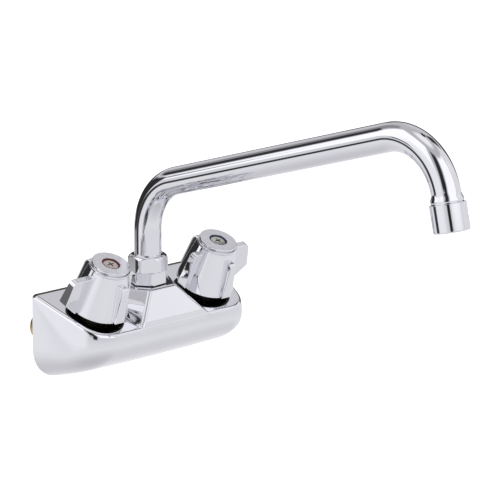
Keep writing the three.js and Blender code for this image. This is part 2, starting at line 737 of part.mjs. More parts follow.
// The turned sleeve that is brazed into the tube's foot and turns in the adapter.
function swivelSleeve() {
  const grooveRadius = SLEEVE_RADIUS - O_RING_SECTION - O_RING_SQUEEZE;
  const ringGroove = SNAP_RING_FOOT - FIT;
  const spigotTop = TUBE_FOOT + SLEEVE_SPIGOT;
  const spigot = TUBE_BORE - FIT;
  const blank = revolved(
    [
      [SLEEVE_BORE, SLEEVE_FOOT],
      [SLEEVE_RADIUS - SLEEVE_CHAMFER, SLEEVE_FOOT],
      [SLEEVE_RADIUS, SLEEVE_FOOT + SLEEVE_CHAMFER],
      [SLEEVE_RADIUS, ringGroove],
      [spigot, ringGroove],
      [spigot, spigotTop],
      [SLEEVE_BORE, spigotTop],
      [SLEEVE_BORE, SLEEVE_FOOT],
    ],
    SIDES_INSIDE,
  );
  const reach = SLEEVE_RADIUS + OVERRUN;
  const snapGroove = groove(snapRingBore() - FIT, reach, ringGroove, TUBE_FOOT);
  const grooves = SLEEVE_O_RINGS.map(({ below }) => {
    const middle = SNAP_RING_FOOT - below;
    const half = O_RING_SECTION / 2 + O_RING_PLAY;
    return groove(grooveRadius, reach, middle - half, middle + half);
  });
  return cut(blank, snapGroove, ...grooves);

  function groove(inner, outer, from, to) {
    return washer(inner, outer, from, to, SIDES_INSIDE);
  }
}

function snapRingBore() {
  return TUBE_BORE - FIT - SNAP_RING_DEPTH;
}

// A split ring that the nut holds down and that keeps the sleeve in the adapter.
function spoutSnapRing() {
  const mouth = new THREE.BoxGeometry(SNAP_RING_MOUTH, SNAP_RING_RADIUS * 2, BIG);
  mouth.translate(0, SNAP_RING_RADIUS, 0);
  const ring = washer(
    snapRingBore(),
    SNAP_RING_RADIUS,
    SNAP_RING_FOOT,
    SNAP_RING_TOP,
    SIDES_INSIDE,
  );
  return cut(ring, solid(mouth));
}

function spoutORing({ below }) {
  return oRing(SLEEVE_RADIUS - O_RING_SECTION / 2, O_RING_SECTION, SNAP_RING_FOOT - below);
}

// ---------------------------------------------------------------- spout tube

// The spout's centre line in the plane x = 0: riser, bend, rising run, outlet bend and
// outlet. Its stations are close together in the bends and far apart on the straights.
class SpoutLine extends THREE.Curve {
  constructor(startHeight, extra) {
    super();
    this.legs = [
      { length: RISER_TOP - startHeight, turn: 0, steps: 1 },
      { radius: RISER_BEND, turn: Math.PI / 2 - RUN_RISE, steps: 7 },
      { length: RUN_LENGTH, turn: 0, steps: 1 },
      { radius: OUTLET_BEND, turn: OUTLET_TURN, steps: 9 },
      { length: OUTLET_STRAIGHT + extra, turn: 0, steps: 1 },
    ];
    this.start = new THREE.Vector3(0, -SPOUT_FROM_WALL, startHeight);
    this.stations = this.legs.reduce((sum, leg) => sum + leg.steps, 0);
  }

  // Stations are shared out by leg and not by length.
  getUtoTmapping(u) {
    return u;
  }

  // Place and heading at station number t * stations; the heading is an angle from
  // straight up that grows as the tube bends over towards the user.
  follow(t) {
    let station = t * this.stations;
    let heading = 0;
    const place = this.start.clone();
    for (const leg of this.legs) {
      const share = THREE.MathUtils.clamp(station / leg.steps, 0, 1);
      if (leg.radius) {
        const next = heading + leg.turn * share;
        place.y -= leg.radius * (Math.cos(heading) - Math.cos(next));
        place.z += leg.radius * (Math.sin(next) - Math.sin(heading));
        heading = next;
      } else {
        place.y -= leg.length * share * Math.sin(heading);
        place.z += leg.length * share * Math.cos(heading);
      }
      station -= leg.steps;
      if (station <= 0) break;
    }
    return { place, heading };
  }

  getPoint(t, target = new THREE.Vector3()) {
    return target.copy(this.follow(t).place);
  }

  getTangent(t, target = new THREE.Vector3()) {
    const { heading } = this.follow(t);
    return target.set(0, -Math.sin(heading), Math.cos(heading));
  }
}

// The outlet's frame: its z axis points the way the water leaves and its origin is at
// the aerator's top edge.
function outletMatrix() {
  const { place, heading } = new SpoutLine(TUBE_FOOT, 0).follow(1);
  const direction = new THREE.Vector3(0, -Math.sin(heading), Math.cos(heading));
  return alongMatrix(place, place.clone().add(direction));
}

// A bent pipe on the spout's centre line.
function bentPipe(radius, bore, startHeight, extra) {
  const line = new SpoutLine(startHeight, extra);
  const section = new THREE.Shape().absarc(0, 0, radius, 0, 2 * Math.PI, false);
  section.holes.push(circlePath(bore));
  const options = { steps: line.stations, curveSegments: TUBE_ARC_STEPS, extrudePath: line };
  return solid(new THREE.ExtrudeGeometry(section, options));
}

// The tube, with the swage and the thread for the aerator joined round its outlet.
function spoutTube() {
  const pipe = bentPipe(TUBE_RADIUS, TUBE_BORE, TUBE_FOOT, AERATOR_THREAD);
  const middle = (TUBE_RADIUS + TUBE_BORE) / 2;
  const threadFoot = AERATOR_THREAD - FIT;
  const swage = revolved(
    [
      [middle, -SWAGE_LENGTH],
      [TUBE_RADIUS - SWAGE_STEP, -SWAGE_LENGTH],
      [SWAGE_RADIUS, -SWAGE_LENGTH / 2],
      [SWAGE_RADIUS, -FIT],
      [AERATOR_THREAD_RADIUS, -FIT],
      [AERATOR_THREAD_RADIUS, threadFoot],
      [middle, threadFoot],
      [middle, -SWAGE_LENGTH],
    ],
    SIDES_SHOWN,
    outletMatrix(),
  );
  return joined(pipe, swage);
}

// ---------------------------------------------------------------- aerator

const SHELL_BORE = AERATOR_THREAD_RADIUS + FIT;
const WASHER_TOP = AERATOR_THREAD + FIT;
const INSERT_TOP = WASHER_TOP + AERATOR_WASHER + FIT;
const SCREEN_TOP = INSERT_TOP + AERATOR_INSERT + FIT;
const MOUTH_TOP = SCREEN_TOP + AERATOR_SCREEN + FIT;
const INSERT_RADIUS = SHELL_BORE - FIT;

function aeratorShell() {
  const edge = AERATOR_EDGE;
  return revolved(
    [
      [SHELL_BORE, 0],
      [AERATOR_RADIUS - AERATOR_TOP_EDGE, 0],
      [AERATOR_RADIUS, AERATOR_TOP_EDGE],
      [AERATOR_RADIUS, AERATOR_LENGTH - edge],
      [AERATOR_RADIUS - edge, AERATOR_LENGTH],
      [AERATOR_MOUTH, AERATOR_LENGTH],
      [AERATOR_MOUTH, MOUTH_TOP],
      [SHELL_BORE, MOUTH_TOP],
      [SHELL_BORE, 0],
    ],
    SIDES_SHOWN,
  );
}

function aeratorWasher() {
  const foot = WASHER_TOP + AERATOR_WASHER;
  return washer(AERATOR_WASHER_BORE, INSERT_RADIUS, WASHER_TOP, foot, SIDES_INSIDE);
}

// A plate with a ring of holes in an open cup.
function aeratorInsert() {
  const inside = INSERT_RADIUS - INSERT_WALL;
  const plate = new THREE.Shape().absarc(0, 0, inside + FIT, 0, 2 * Math.PI, false);
  for (let i = 0; i < INSERT_HOLES; i++) {
    const angle = (i * 2 * Math.PI) / INSERT_HOLES;
    const x = INSERT_HOLE_CIRCLE * Math.cos(angle);
    const y = INSERT_HOLE_CIRCLE * Math.sin(angle);
    plate.holes.push(circlePath(INSERT_HOLE_RADIUS, x, y));
  }
  const plateTop = INSERT_TOP + INSERT_PLATE_SINK;
  const floor = prism(plate, plateTop, plateTop + INSERT_PLATE);
  const foot = INSERT_TOP + AERATOR_INSERT;
  const wall = washer(inside, INSERT_RADIUS, INSERT_TOP, foot, SIDES_INSIDE);
  return joined(floor, wall);
}

// A rim filled by two layers of crossing bars.
function aeratorScreen() {
  const foot = SCREEN_TOP + AERATOR_SCREEN;
  const disc = rod(INSERT_RADIUS, SCREEN_TOP, foot, SIDES_INSIDE);
  const rim = washer(INSERT_RADIUS - SCREEN_RIM, INSERT_RADIUS, SCREEN_TOP, foot, SIDES_INSIDE);
  const bars = [];
  for (let i = -SCREEN_BARS; i <= SCREEN_BARS; i++) {
    for (const turn of [0, Math.PI / 2]) {
      const bar = new THREE.BoxGeometry(INSERT_RADIUS * 2, SCREEN_BAR, AERATOR_SCREEN);
      bar.translate(0, i * SCREEN_PITCH, SCREEN_TOP + AERATOR_SCREEN / 2).rotateZ(turn);
      bars.push(solid(bar));
    }
  }
  return joined(rim, joined(...bars).intersect(disc));
}

// ---------------------------------------------------------------- handles

const SCREW_TOP = HANDLE_TOP - SCREW_HEAD_SINK;
const SCREW_SEAT = SCREW_TOP - SCREW_HEAD_HEIGHT;

// The outline of a prong in the plane of the valve axis: radius across, height up.
function prongShape(corners) {
  const shape = new THREE.Shape();
  const root = RING_RADIUS - HANDLE_WALL;
  shape.moveTo(root, PRONG_TOP);
  shape.lineTo(root, PRONG_FOOT);
  for (const [radius, height] of corners) shape.lineTo(radius, height);
  const [topRadius] = corners[corners.length - 1];
  shape.quadraticCurveTo(topRadius, PRONG_TOP, topRadius - PRONG_ROUND, PRONG_TOP);
  shape.closePath();
  return shape;
}

// A prong is an extruded outline whose sides spread towards its foot, as in a casting.
function prong(shape, angle) {
  const options = {
    depth: PRONG_THICKNESS - 2 * PRONG_BEVEL,
    bevelEnabled: true,
    bevelSize: PRONG_BEVEL,
    bevelOffset: -PRONG_BEVEL,
    bevelThickness: PRONG_BEVEL,
    bevelSegments: 1,
    curveSegments: 3,
  };
  const geometry = new THREE.ExtrudeGeometry(shape, options);
  geometry.translate(0, 0, -options.depth / 2);
  const corners = geometry.attributes.position;
  for (let i = 0; i < corners.count; i++) {
    const down = (PRONG_TOP - corners.getY(i)) / (PRONG_TOP - PRONG_FOOT);
    const spread = THREE.MathUtils.lerp(1, PRONG_FOOT_THICKNESS / PRONG_THICKNESS, down);
    corners.setZ(i, corners.getZ(i) * spread);
  }
  geometry.rotateX(Math.PI / 2);
  return solid(geometry, new THREE.Matrix4().makeRotationZ(angle));
}

function handleBarrel() {
  const capFoot = HANDLE_TOP - CAP_THICKNESS;
  const ringTop = capFoot - CAP_GROOVE;
  const edge = HANDLE_EDGE;
  return revolved(
    [
      [0, SKIRT_GAP],
      [SKIRT_RADIUS - edge, SKIRT_GAP],
      [SKIRT_RADIUS, SKIRT_GAP + edge],
      [RING_RADIUS - edge, SHOULDER_HEIGHT],
      [RING_RADIUS, SHOULDER_HEIGHT + edge],
      [RING_RADIUS, ringTop - edge],
      [RING_RADIUS - edge, ringTop],
      [CAP_RADIUS - CAP_GROOVE_DEPTH, ringTop],
      [CAP_RADIUS - CAP_GROOVE_DEPTH, capFoot],
      [CAP_RADIUS, capFoot],
      [CAP_RADIUS, HANDLE_TOP - edge],
      [CAP_RADIUS - edge, HANDLE_TOP],
      [0, HANDLE_TOP],
    ],
    SIDES_SHOWN,
  );
}

// The handle is open underneath. A hub in the middle takes the spindle.
function handleHollow() {
  const roof = SHOULDER_HEIGHT - HANDLE_ROOF;
  const lean = (SKIRT_RADIUS - RING_RADIUS) / (SHOULDER_HEIGHT - SKIRT_GAP);
  const wallAt = (height) => SKIRT_RADIUS - lean * (height - SKIRT_GAP) - HANDLE_WALL;
  return revolved(
    [
      [0, SKIRT_GAP - OVERRUN],
      [wallAt(SKIRT_GAP - OVERRUN), SKIRT_GAP - OVERRUN],
      [wallAt(roof), roof],
      [HUB_RADIUS, roof],
      [HUB_RADIUS, HUB_BOTTOM],
      [0, HUB_BOTTOM],
    ],
    SIDES_INSIDE,
  );
}

function handle() {
  const shortProng = prongShape([
    [SHORT_PRONG_FOOT, PRONG_FOOT],
    [SHORT_PRONG_TOP, PRONG_TOP - PRONG_ROUND],
  ]);
  const longProng = prongShape([
    [LONG_PRONG_FOOT, PRONG_FOOT],
    [LONG_PRONG_KNEE, LONG_PRONG_KNEE_HEIGHT],
    [LONG_PRONG_TOP, PRONG_TOP - PRONG_ROUND],
  ]);
  const quarter = Math.PI / 2;
  const prongs = [prong(longProng, 0)];
  for (let i = 1; i < 4; i++) prongs.push(prong(shortProng, i * quarter));
  const socketTop = SPINDLE_TOP + FIT;
  const spline = prism(splineShape(FIT), HUB_BOTTOM - OVERRUN, socketTop);
  const screwHole = rod(SCREW_SHANK_RADIUS + FIT, socketTop - OVERRUN, HANDLE_TOP, SCREW_SIDES);
  const counterbore = rod(SCREW_HEAD_RADIUS + FIT, SCREW_SEAT - FIT, HANDLE_TOP, SIDES_INSIDE);
  const recess = rod(
    CAP_RECESS_RADIUS,
    HANDLE_TOP - CAP_RECESS_DEPTH,
    HANDLE_TOP + OVERRUN,
    SIDES_INSIDE,
  );
  const whole = joined(handleBarrel(), ...prongs);
  return cut(whole, handleHollow(), spline, screwHole, counterbore, recess);
}

// A thin coloured ring that lies in the cap's recess round the screw head.
function indexRing() {
  const floor = HANDLE_TOP - CAP_RECESS_DEPTH + FIT;
  const top = HANDLE_TOP - INDEX_RING_SINK;
  return washer(INDEX_RING_BORE, CAP_RECESS_RADIUS - FIT, floor, top, SIDES_INSIDE);
}

function handleScrew() {
  const foot = SCREW_SEAT - SCREW_LENGTH;
  const blank = revolved(
    [
      [0, foot],
      [SCREW_SHANK_RADIUS, foot],
      [SCREW_SHANK_RADIUS, SCREW_SEAT],
      [SCREW_HEAD_RADIUS, SCREW_SEAT],
      [SCREW_HEAD_RADIUS, SCREW_TOP - SCREW_HEAD_CROWN],
      [SCREW_SLOT_REACH, SCREW_TOP],
      [0, SCREW_TOP],
    ],
    SCREW_SIDES,
  );
  const slots = [0, Math.PI / 2].map((angle) => {
    const bar = new THREE.BoxGeometry(SCREW_SLOT_REACH * 2, SCREW_SLOT, SCREW_SLOT_DEPTH * 2);
    bar.translate(0, 0, SCREW_TOP).rotateZ(angle);
    return solid(bar);
  });
  return cut(blank, ...slots);
}

// ---------------------------------------------------------------- valve cartridges

const SEAL_FOOT = -CHAMBER_DEPTH + FIT;
const FIXED_DISC_FOOT = SEAL_FOOT + SEAT_SEAL + FIT;
const TURNING_DISC_FOOT = FIXED_DISC_FOOT + DISC_THICKNESS + FIT;
const SPINDLE_FOOT = TURNING_DISC_FOOT + DISC_THICKNESS + FIT;
const FLANGE_FOOT = BONNET_GASKET + 2 * FIT;
const BONNET_BODY_RADIUS = CHAMBER_RADIUS - FIT;
const BONNET_TOP = FLANGE_FOOT + BONNET_FLANGE + BONNET_HEX + BONNET_NECK;
const SPINDLE_BORE = SPINDLE_RADIUS + RUNNING_FIT;

function bonnetGasket() {
  const top = FIT + BONNET_GASKET;
  return washer(CHAMBER_RADIUS, BONNET_FLANGE_RADIUS, FIT, top, SIDES_INSIDE);
}

// The screwed brass bonnet: a lower cage round the discs with two windows, a thread in
// the casting, a flange, a hexagon and a neck for the spindle.
function valveBonnet() {
  const cageFoot = FIXED_DISC_FOOT;
  const cageBore = DISC_RADIUS + FIT;
  const roof = SPINDLE_FOOT + SPINDLE_FLANGE + RUNNING_FIT;
  const hexFoot = FLANGE_FOOT + BONNET_FLANGE;
  const neckFoot = hexFoot + BONNET_HEX;
  const turned = revolved(
    [
      [0, cageFoot],
      [cageBore + BONNET_WALL, cageFoot],
      [cageBore + BONNET_WALL, -BONNET_THREAD],
      [BONNET_BODY_RADIUS, -BONNET_THREAD],
      [BONNET_BODY_RADIUS, FLANGE_FOOT],
      [BONNET_FLANGE_RADIUS, FLANGE_FOOT],
      [BONNET_FLANGE_RADIUS, hexFoot],
      [BONNET_NECK_RADIUS, hexFoot],
      [BONNET_NECK_RADIUS, BONNET_TOP],
      [0, BONNET_TOP],
    ],
    SIDES_INSIDE,
  );
  const hexagon = prism(hexagonShape(BONNET_FLATS, 0), hexFoot, neckFoot);
  const cage = rod(cageBore, cageFoot - OVERRUN, roof, SIDES_INSIDE);
  const bore = rod(SPINDLE_BORE, roof - OVERRUN, BONNET_TOP + OVERRUN, SIDES_INSIDE);
  const window = new THREE.BoxGeometry(BIG, BONNET_WINDOW, DISC_THICKNESS);
  window.translate(0, 0, TURNING_DISC_FOOT + DISC_THICKNESS / 2);
  return cut(joined(turned, hexagon), cage, bore, solid(window));
}

// The round seal that presses the fixed disc off the seat in the casting.
function seatSeal() {
  const outer = DISC_RADIUS + FIT + BONNET_WALL;
  return washer(SEAT_SEAL_BORE, outer, SEAL_FOOT, SEAL_FOOT + SEAT_SEAL, SIDES_INSIDE);
}

// A sector between two radii, as a hole in a disc.
function sectorPath(middle) {
  const from = middle - DISC_PORT_HALF;
  const to = middle + DISC_PORT_HALF;
  const path = new THREE.Path();
  path.absarc(0, 0, DISC_PORT_OUTER, from, to, false);
  path.absarc(0, 0, DISC_PORT_INNER, to, from, true);
  path.closePath();
  return path;
}

function portedDisc(foot, turn) {
  const disc = new THREE.Shape().absarc(0, 0, DISC_RADIUS, 0, 2 * Math.PI, false);
  for (const angle of [turn, turn + Math.PI]) disc.holes.push(sectorPath(angle));
  return prism(disc, foot, foot + DISC_THICKNESS);
}

function fixedDisc() {
  return portedDisc(FIXED_DISC_FOOT, 0);
}

// The turning disc has the same two ports, a quarter turn away when the valve is shut,
// and a slot across its back for the spindle's tongue.
function turningDisc() {
  const slot = new THREE.BoxGeometry(BIG, DISC_SLOT, DISC_SLOT_DEPTH * 2);
  slot.translate(0, 0, TURNING_DISC_FOOT + DISC_THICKNESS);
  return cut(portedDisc(TURNING_DISC_FOOT, Math.PI / 2), solid(slot));
}

// The spindle's splined end; a positive margin gives the socket in the handle.
function splineShape(margin) {
  const points = [];
  for (let i = 0; i < SPLINE_TEETH * 2; i++) {
    const angle = (i * Math.PI) / SPLINE_TEETH;
    const radius = SPLINE_RADIUS + margin - (i % 2) * SPLINE_TOOTH;
    points.push([radius * Math.cos(angle), radius * Math.sin(angle)]);
  }
  return polygonShape(points);
}

function spindle() {
  const flangeTop = SPINDLE_FOOT + SPINDLE_FLANGE;
  const clipFoot = BONNET_TOP + FIT;
  const clipTop = clipFoot + CLIP_THICKNESS + FIT;
  const ringMiddle = spindleORingHeight();
  const half = SPINDLE_O_RING_SECTION / 2 + O_RING_PLAY;
  const groove = SPINDLE_RADIUS - SPINDLE_O_RING_SECTION;
  const splineRoot = SPLINE_RADIUS - SPLINE_TOOTH;
  const turned = revolved(
    [
      [0, SPINDLE_FOOT],
      [SPINDLE_FLANGE_RADIUS, SPINDLE_FOOT],
      [SPINDLE_FLANGE_RADIUS, flangeTop],
      [SPINDLE_RADIUS, flangeTop],
      [SPINDLE_RADIUS, ringMiddle - half],
      [groove, ringMiddle - half],
      [groove, ringMiddle + half],
      [SPINDLE_RADIUS, ringMiddle + half],
      [SPINDLE_RADIUS, BONNET_TOP],
      [clipBore() - FIT, BONNET_TOP],
      [clipBore() - FIT, clipTop],
      [splineRoot, clipTop],
      [splineRoot, SPINDLE_TOP],
      [0, SPINDLE_TOP],
    ],
    SIDES_INSIDE,
  );
  const splined = prism(splineShape(0), clipTop, SPINDLE_TOP);
  const tongue = new THREE.BoxGeometry(
    SPINDLE_FLANGE_RADIUS * 2 - DISC_SLOT,
    DISC_SLOT - 2 * FIT,
    TONGUE_DEPTH * 2,
  );
  tongue.translate(0, 0, SPINDLE_FOOT);
  const holeFoot = SCREW_SEAT - SCREW_LENGTH - OVERRUN;
  const hole = rod(SCREW_SHANK_RADIUS + FIT, holeFoot, SPINDLE_TOP + OVERRUN, SCREW_SIDES);
  return cut(joined(turned, splined, solid(tongue)), hole);
}

function spindleORingHeight() {
  return FLANGE_FOOT + BONNET_FLANGE + BONNET_HEX / 2;
}

function spindleORing() {
  const radius = SPINDLE_RADIUS - SPINDLE_O_RING_SECTION / 2 + O_RING_SQUEEZE;
  return oRing(radius, SPINDLE_O_RING_SECTION, spindleORingHeight());
}

function clipBore() {
  return SPLINE_RADIUS - SPLINE_TOOTH;
}

// The open clip above the neck that keeps the spindle in the bonnet.
function retainingClip() {
  const foot = BONNET_TOP + FIT;
  const mouth = new THREE.BoxGeometry(CLIP_RADIUS * 2, CLIP_MOUTH, BIG);
  mouth.translate(CLIP_RADIUS, 0, 0);
  const ring = washer(clipBore(), CLIP_RADIUS, foot, foot + CLIP_THICKNESS, SIDES_INSIDE);
  return cut(ring, solid(mouth));
}

// ---------------------------------------------------------------- assembly

function nippleMesh(name, side) {
  const mesh = piece(name, inletNipple(), BRASS);
  const inner = -INLET_BOSS_SETBACK - INLET_SOCKET_DEPTH + FIT;
  mesh.position.set((side * INLET_CENTRES) / 2, inner, 0);
  mesh.rotation.x = -Math.PI / 2;
  return mesh;
}

// Everything on one valve axis, in the valve's own frame.
function valveGroup(prefix, side, indexColour) {
  const group = new THREE.Group();
  group.name = `${prefix}_valve`;
  group.applyMatrix4(valveMatrix(side));
  const turningParts = new THREE.Group();
  turningParts.rotation.z = side < 0 ? Math.PI : 0; // the long prong points outwards
  turningParts.add(
    piece(`${prefix}_handle`, handle(), CHROME),
    piece(`${prefix}_index_ring`, indexRing(), indexColour),
    piece(`${prefix}_handle_screw`, handleScrew(), STEEL),
    piece(`${prefix}_spindle`, spindle(), BRASS),
    piece(`${prefix}_spindle_o_ring`, spindleORing(), RUBBER),
    piece(`${prefix}_retaining_clip`, retainingClip(), STEEL),
    piece(`${prefix}_turning_disc`, turningDisc(), CERAMIC),
  );
  group.add(
    turningParts,
    piece(`${prefix}_valve_bonnet`, valveBonnet(), BRASS),
    piece(`${prefix}_bonnet_gasket`, bonnetGasket(), RUBBER),
    piece(`${prefix}_fixed_disc`, fixedDisc(), CERAMIC),
    piece(`${prefix}_seat_seal`, seatSeal(), RUBBER),
  );
  return group;
}

// The parts round the spout's vertical axis.
function spoutJointGroup() {
  const group = new THREE.Group();
  group.name = "spout_joint";
  group.position.y = -SPOUT_FROM_WALL;
  group.add(
    piece("spout_adapter", spoutAdapter(), CHROME),
    piece("spout_adapter_gasket", spoutAdapterGasket(), RUBBER),
    piece("spout_nut", spoutNut(), CHROME),
    piece("swivel_sleeve", swivelSleeve(), BRASS),
    piece("spout_snap_ring", spoutSnapRing(), STEEL),
  );
  for (const ring of SLEEVE_O_RINGS) group.add(piece(ring.name, spoutORing(ring), RUBBER));
  return group;
}

function aeratorGroup() {
  const group = new THREE.Group();
  group.name = "aerator";
  group.applyMatrix4(outletMatrix());
  group.add(
    piece("aerator_shell", aeratorShell(), CHROME),
    piece("aerator_washer", aeratorWasher(), RUBBER),
    piece("aerator_insert", aeratorInsert(), WHITE_NYLON),
    piece("aerator_screen", aeratorScreen(), STEEL),
  );
  return group;
}

const tap = new THREE.Group();
tap.name = "wall_tap";
tap.add(
  piece("body_casting", bodyCasting(), CHROME),
  nippleMesh("hot_inlet_nipple", -1),
  nippleMesh("cold_inlet_nipple", 1),
  valveGroup("hot", -1, HOT_RED),
  valveGroup("cold", 1, COLD_BLUE),
  spoutJointGroup(),
  piece("spout_tube", spoutTube(), CHROME),
  aeratorGroup(),
);

export default tap;
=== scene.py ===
"""Commercial wall faucet: polished, finely shaped pieces round the packed construction model."""

import json
import math

import bmesh
import bpy
import numpy as np
from mathutils import Matrix, Vector


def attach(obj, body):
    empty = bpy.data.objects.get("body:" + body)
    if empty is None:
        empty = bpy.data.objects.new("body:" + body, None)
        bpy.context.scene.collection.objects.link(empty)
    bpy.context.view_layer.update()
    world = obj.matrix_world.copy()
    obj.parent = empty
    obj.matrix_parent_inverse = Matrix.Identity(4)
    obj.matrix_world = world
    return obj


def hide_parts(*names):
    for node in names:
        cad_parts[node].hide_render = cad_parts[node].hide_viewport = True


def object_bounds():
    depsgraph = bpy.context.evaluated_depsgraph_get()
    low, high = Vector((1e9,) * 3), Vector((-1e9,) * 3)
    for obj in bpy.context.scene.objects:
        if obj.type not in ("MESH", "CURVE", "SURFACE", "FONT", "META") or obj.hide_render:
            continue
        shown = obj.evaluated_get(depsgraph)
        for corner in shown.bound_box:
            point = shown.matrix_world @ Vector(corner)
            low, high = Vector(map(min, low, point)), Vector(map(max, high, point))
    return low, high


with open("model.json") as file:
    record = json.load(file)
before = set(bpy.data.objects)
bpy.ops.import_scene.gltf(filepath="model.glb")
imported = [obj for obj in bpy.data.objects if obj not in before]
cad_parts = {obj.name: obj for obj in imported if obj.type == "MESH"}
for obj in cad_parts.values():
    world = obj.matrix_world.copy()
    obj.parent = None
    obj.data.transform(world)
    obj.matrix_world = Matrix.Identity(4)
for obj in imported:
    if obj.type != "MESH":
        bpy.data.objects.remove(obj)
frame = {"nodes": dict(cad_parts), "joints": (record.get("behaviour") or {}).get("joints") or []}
CAD_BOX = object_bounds()

bl_info = {
    "name": "Wall Faucet",
    "version": (1, 0, 0),
    "blender": (4, 5, 0),
    "location": "3D View > Sidebar > Wall Faucet",
    "description": "Builds the finely shaped and finished pieces of a two-handle wall faucet",
    "category": "Add Mesh",
}

MM = 0.001
AROUND = 192  # points round a turned surface that shows
AROUND_INSIDE = 64  # points round a bore or a boss inside the casting
AROUND_TUBE = 96  # points round the spout's tube and the screen's rim
AROUND_HEXAGON = 360  # points round the nut and the adapter
AROUND_THREAD = 120  # points round a threaded inlet
CORNER_POINTS = 6  # points along a rounded corner
CORNER_SHARE = 0.48  # the most of a side's length that a corner's rounding takes
WELD = 1e-6  # points closer than this become one
HAIR = 0.01 * MM  # slack where two places are compared
CLEAR = 0.1 * MM  # gap between pieces that lie against each other
OVERLAP = 1 * MM  # how far a cutter runs past what it cuts
# Roundings of turned corners, from one only just broken to a full one.
BROKEN, FINE, SOFT, ROUND, FULL = (size * MM for size in (0.1, 0.2, 0.3, 0.4, 0.5))
JOINTS = {joint["name"]: joint for joint in frame["joints"]}
NODES = frame["nodes"]

# ------------------------------------------------------------------ settings


def length(name, description, millimetres):
    """A length setting whose default is given in millimetres."""
    return bpy.props.FloatProperty(
        name=name,
        description=description,
        default=millimetres * MM,
        min=0.0,
        precision=5,
        unit="LENGTH",
    )


def turn(name, description, degrees):
    """An angle setting whose default is given in degrees."""
    return bpy.props.FloatProperty(
        name=name,
        description=description,
        default=math.radians(degrees),
        subtype="ANGLE",
        unit="ROTATION",
    )


def colour(name, description, value):
    """A colour setting in linear red, green and blue."""
    return bpy.props.FloatVectorProperty(
        name=name,
        description=description,
        default=value,
        size=3,
        min=0.0,
        max=1.0,
        subtype="COLOR",
    )


def group(name, kind):
    """A group of settings, described by its own docstring."""
    return bpy.props.PointerProperty(type=kind, name=name, description=kind.__doc__)


class BodySizes(bpy.types.PropertyGroup):
    """Sizes of the body casting."""

    length: length("Length", "Along the wall", 168.7)
    wall: length("Wall", "Thickness of the casting", 3.4)
    deck_front: length("Deck front", "From the wall to the deck's front edge", 55.2)
    deck_height: length("Deck height", "Of the deck's front edge above the inlets", 10.1)
    deck_slope: turn("Deck slope", "Rise of the deck towards the wall", 23.1)
    end_edge: length("End edge", "Rounding of the deck's edge at the ends", 3)
    front_edge: length("Front edge", "Rounding of the deck's edge at the front", 1.8)
    corner: length("Deck corner", "Radius of the deck's front corners", 20)
    end_taper: turn("End taper", "How far the ends lean inwards towards the front", 14)
    belly_drop: length("Belly drop", "From the inlet axes down to the lower rim", 29.6)
    belly_corner: length("Belly corner", "Radius of the rim's lower corners", 23)
    belly_crown: length("Belly crown", "Rise of the belly towards its ends", 0.9)
    front_bulge: length("Front bulge", "How far the front swells out below the deck", 4.3)
    front_fall: length("Front fall", "Height over which the front swells", 22.8)
    belly_reach: length("Belly reach", "Flatness of the belly under the body", 27.5)
    belly_rise: length("Belly rise", "Rise of the belly as it leaves the wall", 8)
    hump_top: length("Hump top", "Height of the raised centre's flat top", 32.2)
    hump_front: length("Hump front", "From the wall to the front of the flat top", 41.7)
    hump_foot: length("Hump foot", "Half width of the raised centre at the deck's front", 31.9)
    hump_brow: length("Hump brow", "Half width of the flat top at its front", 12)
    hump_back: length("Hump back", "Half width of the flat top at the deck's height", 34.2)
    hump_bevel: length("Hump bevel", "Rounding of the raised centre's edges", 2.0)
    brow_turn: length("Brow turn", "From the brow's foot to where its slope starts to turn", 5.5)
    brow_blend: length("Brow blend", "Width over which that turn fades into the deck's edge", 5)
    # painted shade: a dark line along the deck's back edge
    painted_shade_line: length("Edge line", "Width of the dark line on the deck's back edge", 1.8)
    painted_shade_line_foot: length("Edge line foot", "Height above which that line shows", 31.5)
    hump_setback: length("Hump setback", "From the wall to the raised centre's back", 0.6)
    chamber: length("Valve chamber", "Radius of the valve chamber", 10)
    chamber_depth: length("Chamber depth", "Of the valve chamber under the deck", 17.5)
    chamber_wall: length("Chamber wall", "Wall round the valve chamber and the spout's bore", 4)
    port: length("Seat port", "Radius of the port under the valve seat", 5.5)
    port_depth: length("Port depth", "Depth of that port", 9)
    port_floor: length("Port floor", "Metal under that port", 2)
    waterway: length("Waterway", "Radius of the crossing waterway", 5)
    waterway_wall: length("Waterway wall", "Wall round the waterway", 3)
    waterway_depth: length("Waterway depth", "Under the deck, along a valve's axis", 12)
    socket: length("Inlet socket", "Radius of the socket for an inlet nipple", 10.8)
    socket_depth: length("Socket depth", "Of the inlet socket", 8.5)
    socket_wall: length("Socket wall", "Wall round the inlet socket", 3.6)
    socket_setback: length("Socket setback", "From the wall plane to the socket's mouth", 1.5)
    socket_reach: length("Socket boss", "Boss past the valve chamber's floor", 6)
    stub: length("Spout bore", "Radius of the bore for the spout's adapter", 11.1)
    stub_depth: length("Spout bore depth", "Depth of that bore", 12.8)


